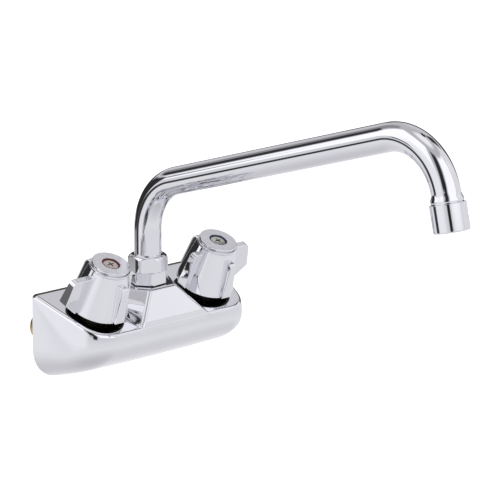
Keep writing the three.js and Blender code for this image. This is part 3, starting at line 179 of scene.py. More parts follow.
class HandleSizes(bpy.types.PropertyGroup):
    """Sizes of a handle; heights run along the valve's axis from the deck."""

    top: length("Top", "Height of the cap's face", 40.2)
    skirt_gap: length("Skirt gap", "From the deck to the skirt", 4.2)
    skirt: length("Skirt", "Radius of the skirt's lower edge", 21.3)
    ring: length("Ring", "Radius of the ring under the cap", 14.5)
    shoulder: length("Shoulder", "Height where the barrel meets the ring", 36)
    cap: length("Cap", "Radius of the cap", 13.6)
    cap_thickness: length("Cap thickness", "Height of the cap", 1.5)
    groove: length("Groove", "Height of the groove under the cap", 1)
    groove_depth: length("Groove depth", "How far the groove cuts in", 1.2)
    edge: length("Edge", "Rounding of the turned edges", 0.45)
    wall: length("Wall", "Thickness of the skirt", 2.2)
    roof: length("Roof", "From the shoulder down to the hollow", 6)
    hub: length("Hub", "Radius of the hub for the spindle", 7)
    hub_bottom: length("Hub bottom", "Height of the hub's lower end", 16.4)
    hub_fillet: length("Hub fillet", "Rounding between the hub and the hollow's roof", 0.8)
    roof_fillet: length("Roof fillet", "Rounding between the skirt and the hollow's roof", 1.5)
    spline: length("Spline", "Radius of the socket for the spindle", 4.2)
    socket_top: length("Socket top", "Height of that socket's end", 33.3)
    recess: length("Recess", "Radius of the cap's recess", 6.5)
    recess_depth: length("Recess depth", "Depth of the cap's recess", 1.6)
    counterbore: length("Counterbore", "Radius of the screw's seat", 5.7)
    screw_seat: length("Screw seat", "Height of the screw's seat", 36.9)
    screw_hole: length("Screw hole", "Radius of the screw's hole", 2.3)
    prong_top: length("Prong top", "Height of the prongs' tops", 31.7)
    prong_foot: length("Prong foot", "Height of the prongs' lower ends", 5)
    prong_thickness: length("Prong thickness", "Across a prong at its top", 5.2)
    prong_spread: length("Prong spread", "Across a prong at its foot", 8.4)
    prong_round: length("Prong round", "Rounding of a prong's top corner", 3.2)
    prong_edge: length("Prong edge", "Rounding of a prong's long edges", 0.8)
    short_top: length("Short prong top", "Reach of a short prong at its top", 21.2)
    short_foot: length("Short prong foot", "Reach of a short prong at its foot", 24)
    long_top: length("Long prong top", "Reach of the long prong at its top", 31.5)
    long_knee: length("Long prong knee", "Reach of the long prong at its widest", 35.3)
    long_knee_height: length("Knee height", "Height of the long prong's widest place", 13.8)
    long_foot: length("Long prong foot", "Reach of the long prong at its foot", 24)
    screw_head: length("Screw head", "Radius of the screw's head", 5.4)
    screw_head_height: length("Head height", "Height of the screw's head", 2.6)
    screw_sink: length("Screw sink", "From the cap's face down to the screw", 0.4)
    screw_shank: length("Screw shank", "Radius of the screw's shank", 2)
    screw_length: length("Screw length", "Of the shank under the head", 12)
    slot_half: length("Slot half width", "Half the width of a slot in the screw", 0.5)
    slot_reach: length("Slot reach", "From the screw's middle to a slot's end", 2.7)
    slot_depth: length("Slot depth", "Depth of the slots", 1.6)
    screw_crown: length("Screw crown", "How far the screw's head is domed", 0.5)
    slot_edge: length("Slot edge", "Width over which a slot's sides fall", 0.35)
    index_bore: length("Index bore", "Inner radius of the index ring", 5.6)
    index_sink: length("Index sink", "From the cap's face down to the index ring", 0.2)


class SpoutSizes(bpy.types.PropertyGroup):
    """Sizes of the spout and its joint; heights run from the inlet axes."""

    from_wall: length("From wall", "From the wall to the spout's axis", 26)
    tube: length("Tube", "Outer radius of the tube", 9.75)
    tube_wall: length("Tube wall", "Thickness of the tube", 1.1)
    foot: length("Tube foot", "Height of the tube's lower end", 52.3)
    riser_top: length("Riser top", "Height where the riser starts to bend", 70.6)
    bend: length("Bend", "Radius of the first bend", 41.9)
    rise: turn("Rise", "Slope of the long run", 16.9)
    run: length("Run", "Length of the long run", 206.5)
    outlet_bend: length("Outlet bend", "Radius of the bend at the outlet", 39.8)
    outlet_turn: turn("Outlet turn", "How far the tube turns at the outlet", 93.4)
    outlet: length("Outlet", "Straight length above the aerator", 5.8)
    swage: length("Swage", "Radius of the swage above the aerator", 11)
    swage_length: length("Swage length", "Length of that swage", 6.5)
    swage_lip: length("Swage lip", "How far the swage's end is drawn in", 0.5)
    lip_start: length("Lip start", "From the swage's end to where it is drawn in", 0.9)
    adapter_flats: length("Adapter flats", "Across the lower hexagon", 23)
    adapter_turn: turn("Adapter turn", "How the lower hexagon is turned", 5.5)
    adapter_foot: length("Adapter foot", "Height of the lower hexagon's foot", 32.8)
    adapter_top: length("Adapter top", "Height of the lower hexagon's top", 41.8)
    adapter_neck: length("Adapter neck", "Threaded neck above the hexagon", 8.4)
    adapter_edge: length("Adapter edge", "Rounding of the hexagon's upright edges", 0.2)
    adapter_rim: length("Adapter rim", "Rounding of the hexagon's upper and lower rims", 0.35)
    stub: length("Adapter stub", "Radius of the stub and the neck", 10.8)
    stub_depth: length("Stub depth", "Stub below the raised centre's top", 12.5)
    socket: length("Adapter socket", "Radius of the bore for the sleeve", 9)
    nut_flats: length("Nut flats", "Across the nut", 26)
    nut_turn: turn("Nut turn", "How the nut is turned", 22)
    nut_top: length("Nut top", "Height of the nut's top", 53.5)
    nut_foot: length("Nut foot", "Height of the nut's foot", 42.1)
    nut_shoulder: length("Nut shoulder", "How far the nut's top is rounded off", 3.0)
    nut_edge: length("Nut edge", "Rounding of the nut's upright edges", 0.6)
    nut_foot_chamfer: length("Nut foot chamfer", "Chamfer of the nut's foot", 0.8)
    nut_hole: length("Nut hole", "Radius of the hole for the tube", 10.05)
    nut_thread: length("Nut thread", "Radius of the thread inside", 11.1)
    nut_lip: length("Nut lip", "Lip above the thread", 1.3)
    gasket: length("Gasket", "Outer radius of the gasket under the adapter", 11.7)


class AeratorSizes(bpy.types.PropertyGroup):
    """Sizes of the aerator, measured down from its top edge."""

    radius: length("Radius", "Of the shell", 12)
    shell: length("Length", "Of the shell", 18.2)
    bore: length("Bore", "Radius of the shell's bore", 10.6)
    mouth: length("Mouth", "Radius of the opening below", 9.2)
    mouth_top: length("Mouth top", "Where the bore meets the mouth", 16.1)
    edge: length("Edge", "Rounding of the lower edge", 0.9)
    top_edge: length("Top edge", "Rounding of the upper edge", 0.3)
    screen_top: length("Screen top", "Upper side of the screen", 15)
    screen: length("Screen", "Thickness of the screen", 0.8)
    screen_radius: length("Screen radius", "Of the screen's rim", 10.3)
    wire_pitch: length("Wire pitch", "Between neighbouring wires", 1.15)
    wire: length("Wire", "Radius of a wire", 0.2)


class InletSizes(bpy.types.PropertyGroup):
    """Sizes of an inlet nipple."""

    radius: length("Radius", "Over the thread", 10.5)
    bore: length("Bore", "Radius of the bore", 7.5)
    reach: length("Reach", "Behind the wall plane", 32)
    inner: length("Inner end", "From the wall plane into the body", 9.7)
    pitch: length("Pitch", "Of the pipe thread", 1.814)
    thread_depth: length("Thread depth", "From crest to root", 1.0)
    chamfer: length("Chamfer", "At the ends", 1.4)


class FinishColours(bpy.types.PropertyGroup):
    """Colours of the finishes."""

    chrome: colour("Chrome", "Bright chrome plate", (0.83, 0.83, 0.86))
    casting: colour("Casting", "Raw inside of the casting", (0.52, 0.38, 0.17))
    brass: colour("Brass", "Machined brass", (0.72, 0.53, 0.25))
    # Painted shade: a dark brass for what lies in shade under the handles, inside the skirts, in
    # the screws' recesses and along the deck's back edge.
    dark_brass: colour("Dark brass", "Oxidised brass under the handles", (0.09, 0.078, 0.06))
    rubber: colour("Rubber", "Black sealing rubber", (0.02, 0.02, 0.021))
    ceramic: colour("Ceramic", "Ground ceramic", (0.78, 0.75, 0.68))
    steel: colour("Steel", "Stainless steel", (0.55, 0.54, 0.52))
    nylon: colour("Nylon", "Moulded insert", (0.76, 0.74, 0.68))
    hot_screw: colour("Hot screw", "Pinkish screw", (0.80, 0.70, 0.66))
    cold_screw: colour("Cold screw", "Pale olive screw", (0.76, 0.75, 0.68))
    hot_index: colour("Hot index", "Dark red index ring", (0.10, 0.012, 0.010))
    cold_index: colour("Cold index", "Dark blue index ring", (0.010, 0.016, 0.08))


class StageSettings(bpy.types.PropertyGroup):
    """Camera, floor and light."""

    azimuth: turn("Azimuth", "Of the camera, from straight in front", -44.42)
    elevation: turn("Elevation", "Of the camera", 13.81)
    roll: turn("Roll", "Of the camera", 0.34)
    distance: length("Distance", "From the camera to the point it looks at", 1850)
    lens: bpy.props.FloatProperty(
        name="Lens",
        description="Focal length in millimetres on a sensor 36 mm wide",
        default=201.6,
        min=1.0,
        unit="CAMERA",
    )
    floor_drop: length("Floor drop", "From the tap's lowest point to the floor", 260)
    floor_size: length("Floor size", "Side of the floor", 30000)
    floor_colour: colour("Floor colour", "Pale floor", (0.9, 0.9, 0.9))
    surround: colour("Surround", "Even light from all round", (0.75, 0.75, 0.76))


class TapSettings(bpy.types.PropertyGroup):
    """All settings of the faucet."""

    body: group("Body", BodySizes)
    handle: group("Handle", HandleSizes)
    spout: group("Spout", SpoutSizes)
    aerator: group("Aerator", AeratorSizes)
    inlet: group("Inlet", InletSizes)
    finish: group("Finish", FinishColours)
    stage: group("Stage", StageSettings)


# ------------------------------------------------------------------ surfaces


def smooth_step(value):
    """3v^2 - 2v^3 of a value held between 0 and 1."""
    v = np.clip(value, 0.0, 1.0)
    return v * v * (3.0 - 2.0 * v)


def blended_max(a, b, width):
    """The larger of a and b, with a parabola of that width across their crossing."""
    gap = np.maximum(width - np.abs(a - b), 0.0) / width
    return np.maximum(a, b) + gap * gap * width / 4.0


def blended_min(a, b, width):
    """The smaller of a and b, with a parabola of that width across their crossing."""
    return -blended_max(-a, -b, width)


def full_turn(count):
    """Angles of so many points, evenly round a ring."""
    return np.arange(count) * (2 * math.pi / count)


def polar_rings(radius, height, angles):
    """Rings about the z axis: x = r cos a, y = r sin a, z = h at each row and angle."""
    r, h, a = np.broadcast_arrays(radius, height, angles)
    return np.stack([r * np.cos(a), r * np.sin(a), h], axis=-1)


def rounded_rows(corners, around):
    """Rows of (radius, height) along a closed profile with its corners rounded.

    A corner is (radius, height, rounding), and its numbers may vary round the ring. A rounded
    corner c becomes the curve a(1-s)^2 + 2cs(1-s) + bs^2 between the points a and b that lie
    the rounding away from it on its two sides.
    """
    points = np.array([[np.broadcast_to(v, around) for v in c[:2]] for c in corners])
    rounding = np.array([c[2] if len(c) > 2 else 0.0 for c in corners])[:, None, None]
    back = np.roll(points, 1, axis=0) - points
    ahead = np.roll(points, -1, axis=0) - points
    back_length = np.maximum(np.linalg.norm(back, axis=1, keepdims=True), WELD)
    ahead_length = np.maximum(np.linalg.norm(ahead, axis=1, keepdims=True), WELD)
    reach = np.minimum(rounding, CORNER_SHARE * np.minimum(back_length, ahead_length))
    start = points + back / back_length * reach
    end = points + ahead / ahead_length * reach
    s = np.linspace(0.0, 1.0, CORNER_POINTS)[:, None, None, None]
    arcs = start * (1 - s) ** 2 + 2 * points * s * (1 - s) + end * s**2
    rows = arcs.transpose(1, 0, 2, 3).reshape(-1, 2, around)
    return rows[:, 0], rows[:, 1]


def ring_faces(rows, around, closed):
    """Quads between neighbouring rings; a closed skin also joins its last ring to its first."""
    low = np.arange(rows if closed else rows - 1)[:, None]
    here = np.arange(around)[None, :]
    high = (low + 1) % rows
    there = (here + 1) % around
    corners = (
        low * around + here,
        low * around + there,
        high * around + there,
        high * around + here,
    )
    return np.stack(np.broadcast_arrays(*corners), axis=-1).reshape(-1, 4)


def new_mesh(name, points, faces):
    """A welded mesh of these points and faces; collapsed edges close the poles."""
    mesh = bpy.data.meshes.new(name)
    mesh.from_pydata(points.reshape(-1, 3).tolist(), [], faces.tolist())
    work = bmesh.new()
    work.from_mesh(mesh)
    bmesh.ops.remove_doubles(work, verts=work.verts, dist=WELD)
    bmesh.ops.dissolve_degenerate(work, edges=work.edges, dist=WELD)
    work.to_mesh(mesh)
    work.free()
    return mesh


def new_object(name, mesh):
    """An object for a mesh, in the scene, at the origin."""
    obj = bpy.data.objects.new(name, mesh)
    bpy.context.scene.collection.objects.link(obj)
    return obj


def ring_object(name, rings, closed=False, matrix=None):
    """A skin through rings of points, moved to its place by a matrix."""
    rows, around = rings.shape[:2]
    mesh = new_mesh(name, rings, ring_faces(rows, around, closed))
    if matrix is not None:
        mesh.transform(matrix)
    return new_object(name, mesh)


def turned(name, corners, matrix, closed=True, around=AROUND):
    """A profile with rounded corners turned about the z axis, up its outer side."""
    radius, height = rounded_rows(corners, around)
    return ring_object(name, polar_rings(radius, height, full_turn(around)), closed, matrix)


def rod(name, radius, low, high, matrix):
    """A plain cylinder between two heights, for joining and cutting."""
    corners = [(0, low), (radius, low), (radius, high), (0, high)]
    return turned(name, corners, matrix, closed=False, around=AROUND_INSIDE)


def merged(name, objects):
    """One object that holds the meshes of several."""
    work = bmesh.new()
    for obj in objects:
        work.from_mesh(obj.data)
        bpy.data.objects.remove(obj)
    mesh = bpy.data.meshes.new(name)
    work.to_mesh(mesh)
    work.free()
    return new_object(name, mesh)


def combine(base, operation, tools):
    """Joins the base with, or cuts it by, each of several closed tools, and removes them."""
    for tool in tools:
        step = base.modifiers.new("combine", "BOOLEAN")
        step.operation = operation
        step.object = tool
        step.solver = "MANIFOLD"
        step.material_mode = "TRANSFER"
        graph = bpy.context.evaluated_depsgraph_get()
        mesh = bpy.data.meshes.new_from_object(base.evaluated_get(graph))
        base.modifiers.clear()
        base.data = mesh
        bpy.data.objects.remove(tool)


def set_finishes(obj, numbers):
    """Gives each of an object's faces one of its finishes, by number."""
    obj.data.polygons.foreach_set("material_index", np.asarray(numbers, np.int32))


def dress(obj, body, node, finishes, crease=32.0):
    """Shades a piece, gives it its finishes and ties it to the frame; the crease is in degrees."""
    obj.data.materials.clear()
    for name in finishes:
        obj.data.materials.append(finish(name))
    obj.data.shade_smooth()
    obj.data.set_sharp_from_angle(angle=math.radians(crease))
    normals = obj.modifiers.new("even shading", "WEIGHTED_NORMAL")
    normals.keep_sharp = True
    normals.weight = 75
    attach(obj, body)
    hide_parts(node)


# ------------------------------------------------------------------ places


def settings():
    """The faucet's settings on the current scene."""
    return bpy.context.scene.wall_faucet


def joint_place(name):
    """A joint's point and the unit direction of its axis, in the frame."""
    joint = JOINTS[name]
    return Vector(joint["pos_m"]), Vector(joint["axis"]).normalized()


def valve_matrix(prefix):
    """A valve's frame: z along the valve's axis, the origin on the deck, x along the wall."""
    place, axis = joint_place(prefix + "_turn")
    tilt = Matrix.Rotation(math.atan2(-axis.y, axis.z), 4, "X")
    return Matrix.Translation(place) @ tilt


def spout_matrix():
    """The spout joint's frame: z up its axis, the origin at the inlets' height."""
    place, _ = joint_place("spout_swing")
    return Matrix.Translation((place.x, place.y, 0.0))


def along_matrix(start, end):
    """A frame whose z axis runs from one point to another."""
    turn_to = (end - start).to_track_quat("Z", "Y")
    return Matrix.Translation(start) @ turn_to.to_matrix().to_4x4()


# ------------------------------------------------------------------ nodes


def blank_material(name):
    """A new material with its node tree and its surface shader."""
    material = bpy.data.materials.new(name)
    material.use_nodes = True
    tree = material.node_tree
    return material, tree, tree.nodes["Principled BSDF"]


def axes(tree, coordinate):
    """The x, y and z of a kind of texture coordinate."""
    place = tree.nodes.new("ShaderNodeTexCoord")
    split = tree.nodes.new("ShaderNodeSeparateXYZ")
    tree.links.new(place.outputs[coordinate], split.inputs["Vector"])
    return [split.outputs[name] for name in "XYZ"]


def arithmetic(tree, operation, *values):
    """A math node's result on sockets or numbers."""
    node = tree.nodes.new("ShaderNodeMath")
    node.operation = operation
    for socket, value in zip(node.inputs, values):
        if isinstance(value, (int, float)):
            socket.default_value = value
        else:
            tree.links.new(value, socket)
    return node.outputs["Value"]


def ranged(tree, source, low, high, start, end, kind="LINEAR"):
    """A value that goes from low to high as the source goes from start to end, and stays."""
    spread = tree.nodes.new("ShaderNodeMapRange")
    spread.interpolation_type = kind
    spread.inputs["From Min"].default_value = start
    spread.inputs["From Max"].default_value = end
    spread.inputs["To Min"].default_value = low
    spread.inputs["To Max"].default_value = high
    tree.links.new(source, spread.inputs["Value"])
    return spread.outputs["Result"]


def mixed(tree, factor, first, second):
    """A mix of two colours, each a socket or a value, by a factor's socket."""
    mix = tree.nodes.new("ShaderNodeMix")
    mix.data_type = "RGBA"
    tree.links.new(factor, mix.inputs["Factor"])
    for name, value in (("A", first), ("B", second)):
        if isinstance(value, tuple):
            mix.inputs[name].default_value = (*value, 1.0)
        else:
            tree.links.new(value, mix.inputs[name])
    return mix.outputs["Result"]


def ramped(tree, source, stops):
    """A colour by the source, through stops of (position, colour)."""
    ramp = tree.nodes.new("ShaderNodeValToRGB")
    elements = ramp.color_ramp.elements
    while len(elements) < len(stops):
        elements.new(0.5)
    for element, (position, value) in zip(elements, stops):
        element.position = position
        element.color = (*value, 1.0)
    tree.links.new(source, ramp.inputs["Fac"])
    return ramp.outputs["Color"]


def noise(tree, scale, detail, roughness=0.5, stretch=(1.0, 1.0, 1.0)):
    """Noise on object coordinates, in features per metre."""
    place = tree.nodes.new("ShaderNodeTexCoord")
    mapping = tree.nodes.new("ShaderNodeMapping")
    mapping.inputs["Scale"].default_value = stretch
    texture = tree.nodes.new("ShaderNodeTexNoise")
    texture.inputs["Scale"].default_value = scale
    texture.inputs["Detail"].default_value = detail
    texture.inputs["Roughness"].default_value = roughness
    tree.links.new(place.outputs["Object"], mapping.inputs["Vector"])
    tree.links.new(mapping.outputs["Vector"], texture.inputs["Vector"])
    return texture.outputs["Fac"]


# ------------------------------------------------------------------ finishes

TONES = (0.3, 0.7)  # the noise's values at a finish's darkest and lightest tone

# How a kind of surface looks. The shades are its darkest and lightest tone as parts of its
# tint, tone and relief are noises (features per metre, detail, roughness, stretch), the
# roughness goes with the tone, and the height is the relief's.
POLISHED = {
    "shades": (0.97, 1.0),
    "tone": (26.0, 4.0),
    "roughness": (0.035, 0.06),
    "relief": (60.0, 2.0),
    "height": 0.02 * MM,
}
BRUSHED = {
    "shades": (0.86, 1.12),
    "tone": (420.0, 5.0, 0.6),
    "roughness": (0.14, 0.28),
    "relief": (1500.0, 3.0),
    "height": 0.03 * MM,
}
SAND_CAST = {
    "shades": (0.6, 1.0),
    "tone": (90.0, 6.0),
    "roughness": (0.55, 0.55),
    "relief": (1600.0, 3.0),
    "height": 0.12 * MM,
}


def turned_metal(roughness):
    """Machined metal with fine turning marks and small changes of tone."""
    return {
        "shades": (0.8, 1.0),
        "tone": (180.0, 4.0),
        "roughness": (0.8 * roughness, 1.3 * roughness),
        "relief": (900.0, 2.0, 0.5, (0.2, 0.2, 3.0)),
        "height": 0.02 * MM,
    }


def moulded(roughness):
    """Moulded, ground or enamelled matter that isn't metal."""
    return {
        "shades": (0.85, 1.0),
        "tone": (1200.0, 3.0),
        "roughness": (0.85 * roughness, 1.15 * roughness),
        "relief": (1200.0, 3.0),
        "height": 0.02 * MM,
        "metallic": 0.0,
    }


# The finishes, each with the setting of its tint and its look.
FINISHES = {
    "chrome_plate": ("chrome", POLISHED),
    "body_plate": ("chrome", POLISHED),
    "satin_chrome": ("chrome", BRUSHED),
    "raw_casting": ("casting", SAND_CAST),
    "machined_brass": ("brass", turned_metal(0.24)),
    # painted shade: this dark brass stands for shade, not for the metal's own colour
    "dark_brass": ("dark_brass", turned_metal(0.5)),
    "stainless_steel": ("steel", turned_metal(0.25)),
    "copper_plate": ("hot_screw", turned_metal(0.3)),
    "brass_plate": ("cold_screw", turned_metal(0.3)),
    "black_rubber": ("rubber", moulded(0.6)),
    "ground_ceramic": ("ceramic", moulded(0.2)),
    "white_nylon": ("nylon", moulded(0.45)),
    "hot_enamel": ("hot_index", moulded(0.45)),
    "cold_enamel": ("cold_index", moulded(0.45)),
}


def shaded(value, factor):
    """A colour made lighter or darker by a factor."""
    return tuple(min(1.0, channel * factor) for channel in value)


def patterned(name, tint, shades, tone, roughness, relief, height, metallic=1.0):
    """A material of a tint and a look, with noise in its tone, its gloss and its relief.

    A roughness that is the same all over stands in the shader itself.
    """
    material, tree, shader = blank_material(name)
    shader.inputs["Metallic"].default_value = metallic
    tones = noise(tree, *tone)
    stops = [(place, shaded(tint, factor)) for place, factor in zip(TONES, shades)]
    tree.links.new(ramped(tree, tones, stops), shader.inputs["Base Color"])
    if roughness[0] == roughness[1]:
        shader.inputs["Roughness"].default_value = roughness[0]
    else:
        gloss = ranged(tree, tones, *roughness, *TONES)
        tree.links.new(gloss, shader.inputs["Roughness"])
    bump = tree.nodes.new("ShaderNodeBump")
    bump.inputs["Distance"].default_value = height
    tree.links.new(noise(tree, *relief), bump.inputs["Height"])
    tree.links.new(bump.outputs["Normal"], shader.inputs["Normal"])
    return material


def paint_edge_shade(material):
    """Paints a dark line of shade along the deck's back edge, in the dark brass tint that stands
    for shade.
    """
    tree = material.node_tree
    base = tree.nodes["Principled BSDF"].inputs["Base Color"]
    sizes = settings().body
    _, y, z = axes(tree, "Object")
    high, at_back_edge = (
        ranged(tree, source, 0.0, 1.0, limit - CLEAR, limit + CLEAR)
        for source, limit in ((z, sizes.painted_shade_line_foot), (y, -sizes.painted_shade_line))
    )
    line = arithmetic(tree, "MULTIPLY", high, at_back_edge)
    dark = tuple(settings().finish.dark_brass)
    tree.links.new(mixed(tree, line, base.links[0].from_socket, dark), base)


def finish(name):
    """A finish by its name, made once."""
    material = bpy.data.materials.get(name)
    if material is None:
        tint, look = FINISHES[name]
        material = patterned(name, getattr(settings().finish, tint), **look)
        # the body's plate gets a painted shade line along the deck's back edge
        if name == "body_plate":
            paint_edge_shade(material)
    return material


# ------------------------------------------------------------------ body casting

# Points along the parts of half the deck's outline, and down a rib's edge and curve.
BODY_COUNTS = {"end": 22, "corner": 26, "front": 36, "edge": 7, "rib": 34}
HOLLOW_COUNTS = {"end": 10, "corner": 12, "front": 10, "edge": 2, "rib": 14}
DECK_BORDER = 2 * MM  # from the deck's rounded edge to the first ring on its flat
BROW_POINTS = 13  # along the curve by which the brow turns down
BROW_SHIFT = 0.6  # how far past the raised centre's foot that turn fades, in its blends


def deck_height(s, y):
    """Height of the deck's plane at a distance y from the wall."""
    return s.deck_height + (s.deck_front + y) * math.tan(s.deck_slope)


def plan_outline(s, inset, back, counts):
    """Half of the deck's outline: the tapered end, the corner's arc and the straight front.

    Returns x, y, the outward direction nx, ny, and the part, which runs from 0 at the wall
    to 1 and 2 at the ends of the arc and 3 at the middle of the front.
    """
    sin, cos, tan = math.sin(s.end_taper), math.cos(s.end_taper), math.tan(s.end_taper)
    radius = s.corner - inset
    centre_y = s.corner - s.deck_front
    centre_x = s.length / 2 - (s.corner - centre_y * sin) / cos
    end_x = s.length / 2 + back * tan - inset / cos
    t = np.arange(counts["end"]) / counts["end"]
    end = np.array(
        [
            end_x + (centre_x + radius * cos - end_x) * t,
            back + (centre_y - radius * sin - back) * t,
            np.where(t == 0, 1.0, cos),
            np.where(t == 0, 0.0, -sin),
            t,
        ]
    )
    t = np.linspace(0.0, 1.0, counts["corner"])
    a = s.end_taper + (math.pi / 2 - s.end_taper) * t
    corner = np.array(
        [
            centre_x + radius * np.cos(a),
            centre_y - radius * np.sin(a),
            np.cos(a),
            -np.sin(a),
            1 + t,
        ]
    )
    t = np.linspace(0.0, 1.0, counts["front"] + 1)[1:]
    flat = np.ones_like(t)
    front = np.array([centre_x * (1 - t), (centre_y - radius) * flat, 0 * flat, -flat, 2 + t])
    return np.concatenate([end, corner, front], axis=1)


def rim_outline(s, part, inset, half, top):
    """The rim on the wall that faces each point of the deck's outline.

    A straight side, the lower corner's arc, and a belly whose height rises with the square
    of its distance from the middle. Returns x, z and the direction into the casting.
    """
    radius = s.belly_corner - inset
    centre_x = half - radius
    centre_z = s.belly_corner - s.belly_drop
    side_z = top + (centre_z + s.belly_crown - top) * np.clip(part, 0, 1)
    a = np.clip(part - 1, 0, 1) * (math.pi / 2)
    belly_x = centre_x * np.clip(3 - part, 0, 1)
    crown = s.belly_crown * (belly_x / centre_x) ** 2
    on_side, on_belly = part <= 1, part > 2
    arc_x = centre_x + radius * np.cos(a)
    arc_z = centre_z + s.belly_crown - radius * np.sin(a)
    x = np.where(on_side, half, np.where(on_belly, belly_x, arc_x))
    z = np.where(on_side, side_z, np.where(on_belly, centre_z - radius + crown, arc_z))
    in_x = np.where(on_side, -1.0, np.where(on_belly, 0.0, -np.cos(a)))
    in_z = np.where(on_side, 0.0, np.where(on_belly, 1.0, np.sin(a)))
    return x, z, in_x, in_z


def body_rings(s, inset, back, counts, browed=False):
    """Rings of the body's skin, from the middle of its back round to the middle of the deck.

    Each rib is an arc over the deck's edge and then a cubic curve whose handles lean out
    under the deck and reach forward along the belly. An inset gives the hollow inside. Below
    the raised centre the skin can be drawn back to the curve by which its brow turns.
    """
    x, y, nx, ny, part = plan_outline(s, inset, back, counts)
    drop = inset / math.cos(s.deck_slope)
    shape = smooth_step(part)
    edge = np.full_like(x, ROUND)
    lean = 0 * shape
    if inset == 0:
        edge = s.end_edge + (s.front_edge - s.end_edge) * smooth_step(part - 1)
        lean = np.arctan2(s.front_bulge, s.front_fall) * shape
    a = np.linspace(0.0, 1.0, counts["edge"])[:, None] * (math.pi / 2 - lean)
    edge_y = y - ny * edge * (1 - np.sin(a))
    edge_x = x - nx * edge * (1 - np.sin(a))
    edge_z = deck_height(s, edge_y) - drop - edge * (1 - np.cos(a))
    arc = np.stack([edge_x, edge_y, edge_z], axis=-1)
    top = arc[-1]
    rim_x, rim_z, in_x, in_z = rim_outline(s, part, inset, x[0], top[0, 2])
    foot = np.stack([rim_x, np.full_like(rim_x, back), rim_z], axis=-1)
    bulge = np.stack([nx * s.front_bulge, ny * s.front_bulge, -s.front_fall + 0 * nx], axis=-1)
    reach = np.stack([in_x * s.belly_rise, -s.belly_reach + 0 * nx, in_z * s.belly_rise], axis=-1)
    w = shape[:, None]
    upper = top + (foot - top) / 3 * (1 - w) + bulge * w
    lower = foot + (top - foot) / 3 * (1 - w) + reach * w
    t = np.linspace(0.0, 1.0, counts["rib"])[1:, None, None]
    start = top * (1 - t) ** 3 + 3 * upper * t * (1 - t) ** 2
    rib = start + 3 * lower * t**2 * (1 - t) + foot * t**3
    inward = np.stack([nx, ny, ny * math.tan(s.deck_slope)], axis=-1)
    border = arc[:1] - inward * DECK_BORDER
    border[0, :, 1] = np.minimum(border[0, :, 1], back)
    rows = np.concatenate([border, arc, rib])[::-1]
    if browed:
        curve = brow_profile(s)[::-1]
        limit = np.interp(rows[..., 2], curve[:, 1], curve[:, 0])
        share = smooth_step((s.hump_foot - x) / s.brow_blend + BROW_SHIFT)
        beside = rows[..., 2] > curve[0, 1]
        rows[..., 1] += np.maximum(limit - rows[..., 1], 0) * beside * share
    mirrored = rows[:, :-1] * (-1.0, 1.0, 1.0)
    full = np.concatenate([mirrored, rows[:, ::-1]], axis=1)
    middle = -s.deck_front / 2
    back_centre = np.broadcast_to((0.0, back, 0.0), (1, full.shape[1], 3))
    deck_centre = (0.0, middle, deck_height(s, middle) - drop)
    deck_centre = np.broadcast_to(deck_centre, (1, full.shape[1], 3))
    return np.concatenate([back_centre, full, deck_centre])


def prism(name, outline, half_widths):
    """A solid across the casting: an outline of (y, z) with a half width at each point.

    Returns its mesh and the open work on it, in which the right side's points come first.
    """
    count = len(outline)
    right = [(x, y, z) for x, (y, z) in zip(half_widths, outline)]
    left = [(-x, y, z) for x, y, z in right]
    around = [(i, (i + 1) % count) for i in range(count)]
    faces = [list(range(count)), [count + i for i in reversed(range(count))]]
    faces += [[j, i, count + i, count + j] for i, j in around]
    mesh = bpy.data.meshes.new(name)
    mesh.from_pydata(right + left, [], faces)
    work = bmesh.new()
    work.from_mesh(mesh)
    bmesh.ops.recalc_face_normals(work, faces=work.faces)
    return mesh, work


def closed_prism(mesh, work):
    """Puts a worked prism back into its mesh and makes its object."""
    work.to_mesh(mesh)
    work.free()
    return new_object(mesh.name, mesh)


def brow_profile(s):
    """The curve by which the brow turns into the front face, as points (y, z) going down.

    A curve p(1-t)^2 + 2ct(1-t) + qt^2 from p on the brow to q on the body's middle rib; c is
    where the brow's plane meets the rib's tangent at q.
    """
    rings = body_rings(s, 0.0, 0.0, BODY_COUNTS)
    rib = rings[1:-1, rings.shape[1] // 2, 1:]
    rib = rib[rib[:, 0] < -s.deck_front / 2]
    row = np.argmin(np.abs(rib[:, 1] - (s.deck_height - s.brow_turn)))
    q = rib[row]
    tangent = rib[row + 1] - q
    foot = np.array((-s.deck_front, s.deck_height))
    up = np.array((s.deck_front - s.hump_front, s.hump_top - s.deck_height))
    up /= np.linalg.norm(up)
    p = foot + up * s.brow_turn
    along = np.linalg.solve(np.stack([up, -tangent], axis=1), q - foot)[0]
    c = foot + up * along
    t = np.linspace(0.0, 1.0, BROW_POINTS)[:, None]
    return p * (1 - t) ** 2 + 2 * c * t * (1 - t) + q * t**2


def hump_flank(s, inset):
    """The half width of the raised centre at any (y, z), from the plane of its flank.

    The plane goes through the foot, the brow's corner and the place where the flat top meets
    the deck; an inset moves it inwards.
    """
    foot = Vector((s.hump_foot, -s.deck_front, s.deck_height))
    brow_corner = Vector((s.hump_brow, -s.hump_front, s.hump_top))
    back_y = (s.hump_top - s.deck_height) / math.tan(s.deck_slope) - s.deck_front
    back_corner = Vector((s.hump_back, back_y, s.hump_top))
    flank = (brow_corner - foot).cross(back_corner - foot).normalized()
    if flank.x < 0:
        flank.negate()
    reach = flank.dot(foot) - inset
    return lambda y, z: (reach - flank.y * y - flank.z * z) / flank.x


def hump_hollow(s, back):
    """The space inside the raised centre, a wall away from every plane."""
    brow = math.atan2(s.hump_top - s.deck_height, s.deck_front - s.hump_front)
    top = s.hump_top - s.wall
    foot_y = s.wall / math.sin(brow) - s.deck_front
    brow_y = foot_y + (top - s.deck_height) / math.tan(brow)
    outline = [(foot_y, s.deck_height), (brow_y, top), (back, top), (back, s.deck_height)]
    flank = hump_flank(s, s.wall)
    return closed_prism(*prism("hump_hollow", outline, [flank(y, z) for y, z in outline]))


